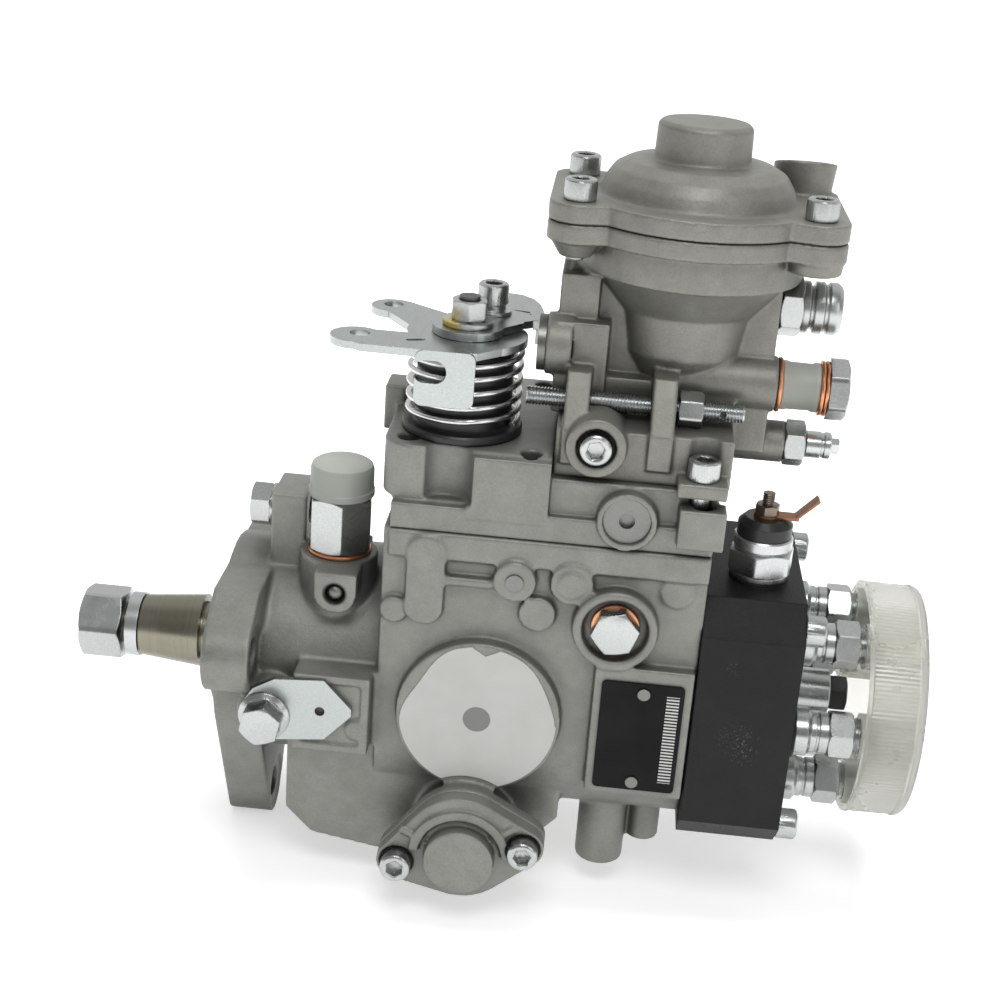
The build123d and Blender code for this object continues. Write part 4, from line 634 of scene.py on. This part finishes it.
def set_world():
    """White backdrop behind the object, and a dimmer room in front of it."""
    world = bpy.data.worlds.new("world")
    bpy.context.scene.world = world
    world.use_nodes = True
    tree = world.node_tree
    background = tree.nodes["Background"]
    background.inputs["Color"].default_value = (1, 1, 1, 1)
    path = tree.nodes.new("ShaderNodeLightPath")
    direction = tree.nodes.new("ShaderNodeTexCoord")
    split = tree.nodes.new("ShaderNodeSeparateXYZ")
    tree.links.new(direction.outputs["Generated"], split.inputs[0])
    behind = tree.nodes.new("ShaderNodeMapRange")
    behind.interpolation_type = "SMOOTHSTEP"
    for place, value in enumerate((-0.35, 0.45, 0.30, 0.80), start=1):
        behind.inputs[place].default_value = value
    tree.links.new(split.outputs["Y"], behind.inputs["Value"])
    glossy = blended(tree, path.outputs["Is Glossy Ray"], 0.28, behind.outputs[0])
    seen = greater(tree, path.outputs["Is Camera Ray"], path.outputs["Is Transmission Ray"])
    tree.links.new(blended(tree, seen, glossy, 1.0), background.inputs["Strength"])


def set_floor(level):
    """Pale floor that shows white to the camera and keeps the object's shadow."""
    mesh = bpy.data.meshes.new("floor")
    mesh.from_pydata([(-6, -6, level), (6, -6, level), (6, 6, level), (-6, 6, level)], [], [(0, 1, 2, 3)])
    floor = bpy.data.objects.new("floor", mesh)
    bpy.context.scene.collection.objects.link(floor)
    tree = Tree("floor")
    tree.shader.inputs["Base Color"].default_value = (0.86, 0.86, 0.86, 1)
    tree.shader.inputs["Roughness"].default_value = 0.9
    tree.shader.inputs["Specular IOR Level"].default_value = 0.1
    path = tree.nodes.new("ShaderNodeLightPath")
    seen = greater(tree, path.outputs["Is Camera Ray"], path.outputs["Is Transmission Ray"])
    seen = greater(tree, seen, path.outputs["Is Glossy Ray"])
    tree.shader.inputs["Emission Color"].default_value = (1, 1, 1, 1)
    distance = tree.nodes.new("ShaderNodeVectorMath")
    distance.operation = "DISTANCE"
    tree.link(tree.place, distance.inputs[0])
    distance.inputs[1].default_value = (0.1, 0, level)
    far = tree.ramp(distance.outputs["Value"], [(0.16, 0.52), (0.55, 1.0)])
    tree.link(tree.math("MULTIPLY", seen, far), tree.shader.inputs["Emission Strength"])
    floor.data.materials.append(tree.material)


bpy.context.scene.view_settings.view_transform = "Standard"
set_camera()
set_world()
floor_gap = 0.0006
set_floor(cad_box[0][2] - floor_gap)
area_light("key", place=(0.15, -0.75, 1.1), aim=(0.1, 0, 0.06), size=(0.6, 0.45), power=5.4)
area_light("fill", place=(0.85, -0.75, 0.45), aim=(0.1, 0, 0.04), size=(0.45, 0.6), power=1.2)
area_light("top", place=(0.1, 0.15, 1.15), aim=(0.1, 0, 0.05), size=(0.9, 0.7), power=8.6, mirrored=False)
area_light("rim", place=(0.2, 0.9, 0.5), aim=(0.1, 0, 0.05), size=(1.4, 0.8), power=1.2, mirrored=False)


def casting(name, node, body, look, voxel, passes, extras=()):
    source = nodes[node]
    bm = bmesh.new()
    bm.from_mesh(source.data)
    for build, matrix, args in extras:
        carried(bm, matrix, build, *args)
    mesh = bpy.data.meshes.new(name)
    bm.to_mesh(mesh)
    bm.free()
    piece = bpy.data.objects.new(name, mesh)
    bpy.context.scene.collection.objects.link(piece)
    remesh = piece.modifiers.new("melt", "REMESH")
    remesh.mode = "VOXEL"
    remesh.voxel_size = voxel * 1.0 * MM
    remesh.adaptivity = 0.0
    smooth = piece.modifiers.new("soften", "SMOOTH")
    smooth.factor = 0.5
    smooth.iterations = passes
    depsgraph = bpy.context.evaluated_depsgraph_get()
    melted = bpy.data.meshes.new_from_object(piece.evaluated_get(depsgraph))
    piece.modifiers.clear()
    piece.data = melted
    melted.materials.clear()
    melted.materials.append(looks[look].material)
    for polygon in melted.polygons:
        polygon.use_smooth = True
    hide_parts(node)
    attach(piece, body)
    return piece


def joint_radius(angle):
    """Outline of the compensator's joint from its axis: a round plate with four ears."""
    ears = [(side * 35.5, end * 20.0) for side in (-1, 1) for end in (-1, 1)]
    reach = 38.0
    for side in (-1, 1):
        best = 1000.0
        pair = [ear for ear in ears if ear[0] * side > 0]
        for step in range(180):
            turn = 2 * pi * step / 180
            facing = cos(turn - angle)
            if facing > 0.05:
                support = max([20.0] + [x * cos(turn) + y * sin(turn) + 9.0 for x, y in pair])
                best = min(best, support / facing)
        reach = max(reach, best)
    return reach


def joint_plate(bm, inset, low, high):
    """A thin plate in the compensator's joint outline."""
    outline = {}

    def radius_at(key, angle):
        if angle not in outline:
            outline[angle] = joint_radius(angle)
        return outline[angle] - key, 0

    rings(bm, [(low, inset), (high, inset)], radius_at, 180)


def bar(bm, width, depth, height):
    """A rectangular bar that stands on its plane, for the castings to melt in."""
    half_x, half_y = width / 2, depth / 2
    prism(bm, [(-half_x, -half_y), (half_x, -half_y), (half_x, half_y), (-half_x, half_y)], height)


housing_extras = [
    # Raised frame on the neck behind the spacer plate, a long rib along the side and two round pads
    (bar, toward_viewer(40.5, -44.6, 10.2), (24, 2.4, 1.6)),
    (bar, toward_viewer(40.5, -44.6, -14.2), (24, 2.4, 1.6)),
    (bar, toward_viewer(51.6, -44.6, -2), (2.4, 25, 1.6)),
    (bar, toward_viewer(29.5, -44.6, -2), (2.4, 25, 1.6)),
    (bar, toward_viewer(110, -40, 59.5), (88, 1.6, 2.2)),
    (turned, toward_viewer(113.3, -43.2, 49.7), ([(0.01, 0), (4.2, 0), (4.2, 0.9), (0.01, 0.9)],)),
    (turned, toward_viewer(146, -39.5, 49.4), ([(0.01, 0), (5.4, 0), (5.2, 1.4), (0.01, 1.5)],)),
]
# Two webs from the near timing cover's boss to its screw bosses
timer_extras = []
for turn in (radians(158), radians(35)):
    turned_place = toward_viewer(85.5, -54.5, -42.5) @ Matrix.Rotation(turn, 4, "Z")
    timer_extras.append((bar, turned_place @ Matrix.Translation((16.5, 0, 0)), (9, 2.2, 2.8)))
boost_extras = [
    (joint_plate, toward_top(*boost_axis, 0), (0.25, 155.5, 157.85)),
    (turned, toward_top(*boost_axis, 0), ([(0.01, 139), (34.4, 141.5), (34.6, 152), (0.01, 152)],)),
]
boost_cover_extras = [(joint_plate, toward_top(*boost_axis, 0), (0.25, 158.15, 160.5))]

casting("housing_casting", "pump_housing", "pump", "cast_housing", 0.7, 4, housing_extras)
casting("cover_casting", "governor_cover", "pump", "cast_housing", 0.55, 4)
casting("timer_cover_castings", "timer_covers", "pump", "cast_housing", 0.45, 4, timer_extras)
casting("compensator_casting", "boost_body", "pump", "cast_boost", 0.55, 4, boost_extras)
casting("compensator_cover_casting", "boost_cover", "pump", "cast_boost", 0.55, 4, boost_cover_extras)

bm = bmesh.new()
carried(bm, toward_top(*boost_axis, 0), joint_plate, 0.9, 157.65, 158.35)
finish_piece("diaphragm_rim", bm, "pump", "seal_rubber", ["boost_diaphragm"])


# Cap screws: knurled heads with hexagon sockets
def cap_screw(bm, shank):
    socket_head(bm, 4.9, 6.5, 5.0, 3.2)
    turned(bm, [(0.01, -shank), (2.3, -shank), (2.9, 0.6 - shank), (2.9, 0.2), (0.01, 0.2)], 24)


screw_places = [
    (toward_viewer(65.31, -55, -47.05), 14), (toward_viewer(105.69, -55, -37.95), 14),
    (away(65.31, 55, -37.95), 14), (away(105.69, 55, -47.05), 14),
    (toward_head(187, -34, -32), 20), (toward_head(187, 34, -32), 20),
    (toward_head(187, -34, 38), 20), (toward_head(187, 34, 38), 20),
    (toward_top(105, -20, 163.9), 18), (toward_top(105, 20, 163.9), 18), (toward_top(176, -20, 163.9), 15),
    (toward_top(149.5, -39, 87), 10), (toward_top(149.5, 29.5, 98.2), 10),
    (toward_viewer(116.7, -37, 94.1), 10),
]
bm = bmesh.new()
for index, (place, shank) in enumerate(screw_places):
    carried(bm, place @ Matrix.Rotation(0.7 * index, 4, "Z"), cap_screw, shank)
finish_piece("cap_screw_set", bm, "pump", "zinc_bright", ["cap_screws"])


# Shaft nut with turned-off corners
def pierced_hex(bm, flats, height, bore, turn=0.0, segments=72):
    """A hexagon nut: chamfered corners at its ends and a bevelled bore through it."""
    reach = flats / 2

    def radius_at(key, angle):
        kind, value = key
        full = hexagon(flats, angle + turn)
        corner = (full - reach * hex_rim_share) * hex_corner_slope
        if kind == "low":
            return full, corner
        if kind == "high":
            return full, -corner
        return value, 0

    face = ("round", reach * hex_face_share)
    bevel = 0.5
    loops(bm, [
        (0, ("round", bore + bevel)), (0, face), (0, ("low", 0)), (height, ("high", 0)), (height, face),
        (height, ("round", bore + bevel)), (height - bevel, ("round", bore)), (bevel, ("round", bore)),
    ], radius_at, segments)


bm = bmesh.new()
carried(bm, toward_head(-52.5, 0, 0), pierced_hex, 22, 14.5, 7.05, radians(-23))
finish_piece("shaft_nut_form", bm, "shaft", "zinc_bright", ["shaft_nut"])

# Shaft: the CAD form with a threaded stud
source = bmesh.new()
source.from_mesh(nodes["drive_shaft"].data)
carried(source, toward_head(0, 0, 0), threaded, 7.02, -53.2, -32.2, 1.5, 36)
finish_piece("shaft_form", source, "shaft", "ground_steel", ["drive_shaft"])

# Delivery valve holders: collar, waist, hexagon and pipe thread
def holder(bm):
    turned(bm, [(0.01, -6), (5.9, -6), (5.9, 0), (7.7, 0), (8.0, 0.3), (8.0, 4.1), (7.5, 4.6), (6.6, 5.4),
                (6.6, 7.0), (6.2, 7.3), (6.2, 7.9), (6.6, 8.2), (6.6, 11.2), (0.01, 11.2)])
    hex_form(bm, 14, 8, 11)
    threaded(bm, 6.0, 18.8, 26.9, 1.5)


bm = bmesh.new()
for index, angle in enumerate(outlet_angles):
    place = toward_head(188.5, holder_circle * cos(angle), holder_circle * sin(angle))
    carried(bm, place @ Matrix.Rotation(0.4 * index, 4, "Z"), holder)
finish_piece("valve_holder_set", bm, "pump", "zinc_bright", ["delivery_valve_holders"])

# Transport cap: ribbed rim, closed end and one socket for each outlet
def cap_shell(bm):
    def radius_at(key, angle):
        kind, value = key
        ripple = 0.13 * (1 + cos(170 * angle)) if kind == "rib" else 0
        return value - ripple, 0

    loops(bm, [
        (0, ("round", 37.4)), (0.3, ("round", 38.9)), (1.2, ("round", 39.0)), (1.6, ("rib", 38.7)),
        (15.6, ("rib", 38.5)), (16.2, ("round", 38.9)), (17.6, ("round", 38.6)), (18.7, ("round", 37.6)),
        (19, ("round", 36.4)), (19, ("round", 12)), (18.6, ("round", 11.4)), (18.6, ("round", 0.2)),
        (17.4, ("round", 0.2)), (17.4, ("round", 37.0)), (16.8, ("round", 37.4)),
    ], radius_at, 680)


bm = bmesh.new()
carried(bm, toward_head(210, 0, 0), cap_shell)
for angle in outlet_angles:
    place = toward_head(209.5, holder_circle * cos(angle), holder_circle * sin(angle))
    carried(bm, place, tube, [(6.1, 0.4), (6.5, 0), (7.4, 0), (7.5, 0.3), (7.5, 17.8), (6.1, 17.8)])
finish_piece("transport_cap_form", bm, "cap", "clear_plastic", ["transport_cap"])

# Hose union: hexagon and turned ribs
bm = bmesh.new()
place = toward_head(169, 0, 132.4)
carried(bm, place, hex_form, 17, 7)
carried(bm, place, tube, [
    (3.6, -8.9), (5.9, -8.9), (6.0, 0), (6.6, 6.8), (7.9, 7.1), (8.2, 7.4), (8.2, 8.9), (7.9, 9.2),
    (6.8, 9.4), (6.8, 10.3), (7.9, 10.5), (8.2, 10.8), (8.2, 13.3), (7.9, 13.6), (7.5, 13.8),
    (7.5, 14.6), (7.9, 14.8), (8.2, 15.1), (8.2, 17.4), (7.9, 18.0), (7.0, 19.0), (4.2, 19.0), (3.6, 18.5),
])
finish_piece("hose_union_form", bm, "pump", "zinc_bright", ["hose_union"])

# Return bolt, and the inlet union with its hexagon
bm = bmesh.new()
carried(bm, toward_head(186.2, *return_axis), hex_form, 17, 6, 0, False, True, radians(8))
carried(bm, toward_head(160.4, *return_axis), turned, [(0.01, 0), (5.1, 0), (5.1, 26.2), (0.01, 26.2)])
finish_piece("return_bolt_form", bm, "pump", "zinc_bright", ["return_bolt"])

bm = bmesh.new()
carried(bm, toward_top(*inlet_axis, 43.4), hex_form, 19, 18.2, 0, True, True, radians(-10))
carried(bm, toward_top(*inlet_axis, 32), turned, [(0.01, 0), (6.9, 0), (6.9, 12), (0.01, 12)])
carried(bm, toward_top(*inlet_axis, 61.4), turned, [(0.01, 0), (7.9, 0), (7.9, 7.4), (0.01, 7.4)])
finish_piece("inlet_union_form", bm, "pump", "zinc_bright", ["inlet_union"])

# Plastic caps: domed cap with a rolled edge on the inlet, waisted sleeve on the return
bm = bmesh.new()
carried(bm, toward_top(*inlet_axis, 61.6), tube, [
    (8.0, 0), (10.3, 0), (10.6, 0.4), (10.6, 2.2), (10.3, 2.6), (10.2, 9.0), (9.7, 10.4), (8.4, 11.2),
    (6.0, 11.5), (0.02, 11.6), (0.02, 8.1), (8.0, 8.1),
])
carried(bm, toward_head(171.8, *return_axis), tube, [
    (5.3, 0), (7.4, 0), (7.7, 0.3), (7.7, 1.6), (7.4, 2.2), (7.3, 9.2), (7.7, 10), (7.7, 11.3), (7.4, 11.6),
    (5.3, 11.6),
])
finish_piece("plastic_cap_set", bm, "pump", "milky_plastic", ["plastic_caps"])

# Copper washers with rolled edges
def soft_washer(bm, outer, bore, height):
    round_off = height * 0.42
    tube(bm, [
        (bore, 0.1), (bore + 0.2, 0), (outer - round_off, 0), (outer - round_off * 0.3, round_off * 0.3),
        (outer, height / 2), (outer - round_off * 0.3, height - round_off * 0.3), (outer - round_off, height),
        (bore + 0.2, height), (bore, height - 0.1),
    ])


bm = bmesh.new()
for washer_x in (170.4, 183.4, 184.8):
    carried(bm, toward_head(washer_x + 0.05, *return_axis), soft_washer, 8.6, 5.25, 1.3)
carried(bm, toward_top(*inlet_axis, 42), soft_washer, 10.4, 7.05, 1.4)
carried(bm, toward_viewer(side_plug[0], -40.8, side_plug[1]), soft_washer, 7.7, 5.05, 1.4)
finish_piece("copper_washer_set", bm, "pump", "copper", ["copper_washers"])

# Relief valve, side plug, centre plug and shut-off valve body
bm = bmesh.new()
carried(bm, toward_nut(23.5, -3, 50.5), turned, [(0.01, 0), (5, 0), (5, 9.8), (0.01, 9.8)])
carried(bm, toward_nut(13.5, -3, 50.5), turned, [(0.01, 0), (7.2, 0), (7.2, 1.0), (6.6, 1.5), (0.01, 1.5)])
carried(bm, toward_nut(12.1, -3, 50.5), hex_form, 13, 6.4, 0, False, True)
finish_piece("relief_valve_form", bm, "pump", "zinc_bright", ["relief_valve"])

bm = bmesh.new()
carried(bm, toward_viewer(side_plug[0], -42.2, side_plug[1]), hex_form, 13.2, 5.2, 0, True, True, radians(20))
carried(bm, toward_head(188.5, 0, 0), tube, [(3, 0.2), (7.4, 0), (7.8, 0.4), (7.8, 13.6), (7.4, 14), (3, 14)])
finish_piece("screw_plug_set", bm, "pump", "zinc_bright", ["screw_plugs"])

bm = bmesh.new()
carried(bm, toward_top(*valve_axis, 47.2), turned, [
    (0.01, 0), (9.3, 0), (9.5, 0.3), (9.5, 1.6), (9.1, 2), (0.01, 2),
])
carried(bm, toward_top(*valve_axis, 49.2), hex_form, 19, 7.6, 0, True, True, radians(12))
carried(bm, toward_top(*valve_axis, 56.4), turned, [
    (0.01, 0), (8.6, 0), (8.9, 0.9), (9.4, 1.2), (9.4, 4.2), (9.0, 4.7), (8.5, 4.8), (0.01, 4.8),
])
finish_piece("shutoff_valve_form", bm, "pump", "zinc_satin", ["shutoff_valve"])

# Terminal: threaded stud and its nut; the black plug and bleed screw
bm = bmesh.new()
carried(bm, toward_top(*valve_axis, 61.3), threaded, 2.0, 5, 13.9, 0.7, 20)
carried(bm, toward_top(*valve_axis, 68.2), hex_form, 7, 3.2, 0, True, True, radians(17))
finish_piece("valve_terminal_form", bm, "pump", "terminal_steel", ["valve_terminal"])

bm = bmesh.new()
carried(bm, axes_at((172.6, 0, -40), (0, 0, -1), (1, 0, 0)), hex_form, 24, 7, 0, False, True)
carried(bm, toward_head(202.5, 0, 0), hex_form, 11, 6)
finish_piece("black_screw_set", bm, "pump", "black_steel", ["black_screws"])

# Lock bolt with its flange
bm = bmesh.new()
flange = [(0.01, 0), (8.1, 0), (8.3, 0.3), (8.3, 0.8), (7.2, 1.5), (6.8, 1.8), (0.01, 1.8)]
carried(bm, toward_viewer(19.5, -47.4, -4), turned, flange)
carried(bm, toward_viewer(19.5, -49.0, -4), hex_form, 12, 6.5, 0, False, True, radians(12))
finish_piece("lock_bolt_form", bm, "pump", "zinc_bright", ["lock_bolt"])


# Adjusting screws: threads as real helices, a cross hole in the stop screw
def pierced(bm, matrix, radius, length):
    """Cut a round hole through a form by a boolean with a bar."""
    mesh = bpy.data.meshes.new("target")
    bm.to_mesh(mesh)
    target = bpy.data.objects.new("target", mesh)
    cutter = bmesh.new()
    carried(cutter, matrix, turned, [(0.01, 0), (radius, 0), (radius, length), (0.01, length)], 20)
    cutter_mesh = bpy.data.meshes.new("cutter")
    cutter.to_mesh(cutter_mesh)
    cutter.free()
    tool = bpy.data.objects.new("cutter", cutter_mesh)
    for thing in (target, tool):
        bpy.context.scene.collection.objects.link(thing)
    cut = target.modifiers.new("cut", "BOOLEAN")
    cut.object = tool
    result = bpy.data.meshes.new_from_object(target.evaluated_get(bpy.context.evaluated_depsgraph_get()))
    bm.clear()
    bm.from_mesh(result)
    for thing in (target, tool):
        bpy.data.objects.remove(thing)


bm = bmesh.new()
carried(bm, toward_head(94, -24, 103.5), threaded, 3.0, 0, 66.6, 1.0, 24)
pierced(bm, toward_viewer(154.1, -18, 103.5), 1.1, 12)
place = toward_head(175.5, -5, 89.4)
carried(bm, place, threaded, 4.0, -12, 7.6, 1.25, 28)
carried(bm, place, turned, [
    (0.01, 6.8), (4.0, 6.8), (4.3, 7.2), (4.3, 11.6), (4.0, 11.9), (4.0, 12.6), (4.3, 12.9), (4.3, 14.6),
    (3.8, 15.0), (0.01, 15.0),
])
carried(bm, place, hex_form, 4.6, 2.7, 14.9)
finish_piece("adjusting_screw_set", bm, "pump", "zinc_satin", ["adjusting_screws"])

bm = bmesh.new()
carried(bm, place, pierced_hex, 13, 6.5, 4.05, radians(5))
carried(bm, toward_head(140.5, -24, 103.5), pierced_hex, 10, 7.5, 3.05, radians(12))
finish_piece("lock_nut_set", bm, "pump", "zinc_dabbed", ["lock_nuts"])

# Top lever: the CAD form, and the plate behind it that ends in a hook turned down
top_lever_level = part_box("throttle_top_lever")[0][2] / MM
rear_plate = [
    (2, 12), (3, 34), (5, 39), (9, 41), (14, 40), (18, 36), (20.5, 30), (22, 22), (22.8, 12), (22.4, 8),
    (19.4, 8), (19.2, 13), (17.5, 20), (13, 21), (10, 18),
]
hook_end = [(22.8, 12), (22.8, 7.2), (20.4, 7.2), (20.4, 12)]
bm = bmesh.new()
bm.from_mesh(nodes["throttle_top_lever"].data)
plate_thickness, hook_depth = 2.3, 4.4
carried(bm, toward_top(*throttle_axis, top_lever_level + 0.05), prism, rear_plate, plate_thickness)
carried(bm, toward_top(*throttle_axis, top_lever_level - 4.2), prism, hook_end, hook_depth)
finish_piece("top_lever_form", bm, "throttle", "zinc_plate", ["throttle_top_lever"])

# Lever nut, washer and clamp screw
bm = bmesh.new()
washer = [(3.3, 0.1), (3.5, 0), (7.7, 0), (8.0, 0.3), (8.0, 1.5), (7.7, 1.8), (3.5, 1.8), (3.3, 1.7)]
carried(bm, toward_top(*throttle_axis, 122.4), tube, washer)
carried(bm, toward_top(*throttle_axis, 124.2), pierced_hex, 10.4, 6.2, 3.3, radians(-8))
carried(bm, toward_top(*clamp_screw_axis, 122.4), turned, [
    (0.01, 0), (6.0, 0), (6.2, 0.2), (6.2, 1.2), (0.01, 1.3),
])
carried(bm, toward_top(*clamp_screw_axis, 123.6), turned, [(0.01, 0), (4.3, 0), (4.3, 2.2), (0.01, 2.2)])
carried(bm, toward_top(*clamp_screw_axis, 125.6), cap_screw, 4.8)
finish_piece("lever_fastener_set", bm, "throttle", "zinc_dabbed", ["lever_fasteners"])


# Throttle spring: round wire wound round the drum
def wire(bm, points, radius, segments=10):
    """A round wire through points in millimetres."""
    rows = []
    for index, point in enumerate(points):
        before = Vector(points[max(index - 1, 0)])
        after = Vector(points[min(index + 1, len(points) - 1)])
        heading = (after - before).normalized()
        side = heading.cross(Vector((0, 0, 1))).normalized()
        up = side.cross(heading)
        row = []
        for step in range(segments):
            angle = 2 * pi * step / segments
            row.append(bm.verts.new(Vector(point) + radius * (side * cos(angle) + up * sin(angle))))
        rows.append(row)
    skin(bm, rows, rows[1:])
    end_caps(bm, rows)


def wound(radius, low, high, turns, start=0.0, per_turn=48):
    """Points of a helix whose end turns are a little flatter than the middle ones."""
    count = int(turns * per_turn)
    points = []
    for index in range(count + 1):
        part = index / count
        lift = part + 0.018 * sin(2 * pi * part) * -1
        angle = start + 2 * pi * turns * part
        points.append((radius * cos(angle), radius * sin(angle), low + (high - low) * lift))
    return points


bm = bmesh.new()
coil = wound(radius=17.2, low=93.4, high=116.0, turns=5.4, start=-0.4)
carried(bm, toward_top(*throttle_axis, 0), wire, coil, 0.95, 12)
finish_piece("throttle_spring_wire", bm, "throttle", "spring_bright", ["throttle_spring"])

# Drum under the spring: rolled foot, wall and a cap recess
bm = bmesh.new()
carried(bm, toward_top(*throttle_axis, 89), tube, [
    (5.2, 0), (18.2, 0), (18.8, 0.7), (18.8, 2.2), (18.3, 2.9), (15.8, 3.0), (15.1, 3.6), (15.0, 25.6),
    (14.4, 26.4), (5.8, 26.5), (5.2, 26),
], 96)
finish_piece("spring_cup_form", bm, "pump", "black_plastic", ["spring_cup"])


# Blank label: a disc with a notch at its top and a bay over the timing cover
def label_radius(angle):
    flats = 0.0
    for middle, width, depth in ((150, 42, 3.0), (24, 38, 1.5)):
        share = min(1.0, abs(angle - radians(middle)) / radians(width))
        flats += depth * (0.5 + 0.5 * cos(pi * share))
    notch = 2.9 * max(0, 1 - abs(angle - radians(87)) / radians(10)) ** 0.8
    bay_x, bay_z, bay_radius = -1.9, -41.3, 20.2
    along = cos(angle) * bay_x + sin(angle) * bay_z
    clear = along * along - bay_x ** 2 - bay_z ** 2 + bay_radius ** 2
    reach = 25.1 - flats - notch
    if along > 0 and clear > 0:
        reach = min(reach, along - sqrt(clear))
    return reach


def label_disc(bm):
    rows = [(0, 0.0), (0.3, 0.0), (0.4, 0.1)]
    rings(bm, rows, lambda key, angle: (label_radius(angle) - key, 0), 360)


bm = bmesh.new()
carried(bm, toward_viewer(*label_middle, 1.3), label_disc)
finish_piece("label_form", bm, "pump", "label_white", ["blank_label"])

# Compensator spring: the CAD form on a mesh of its own
bm = bmesh.new()
bm.from_mesh(nodes["boost_spring"].data)
boost_wire = finish_piece("boost_spring_wire", bm, "pump", "spring_bright", ["boost_spring"])
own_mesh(boost_wire)
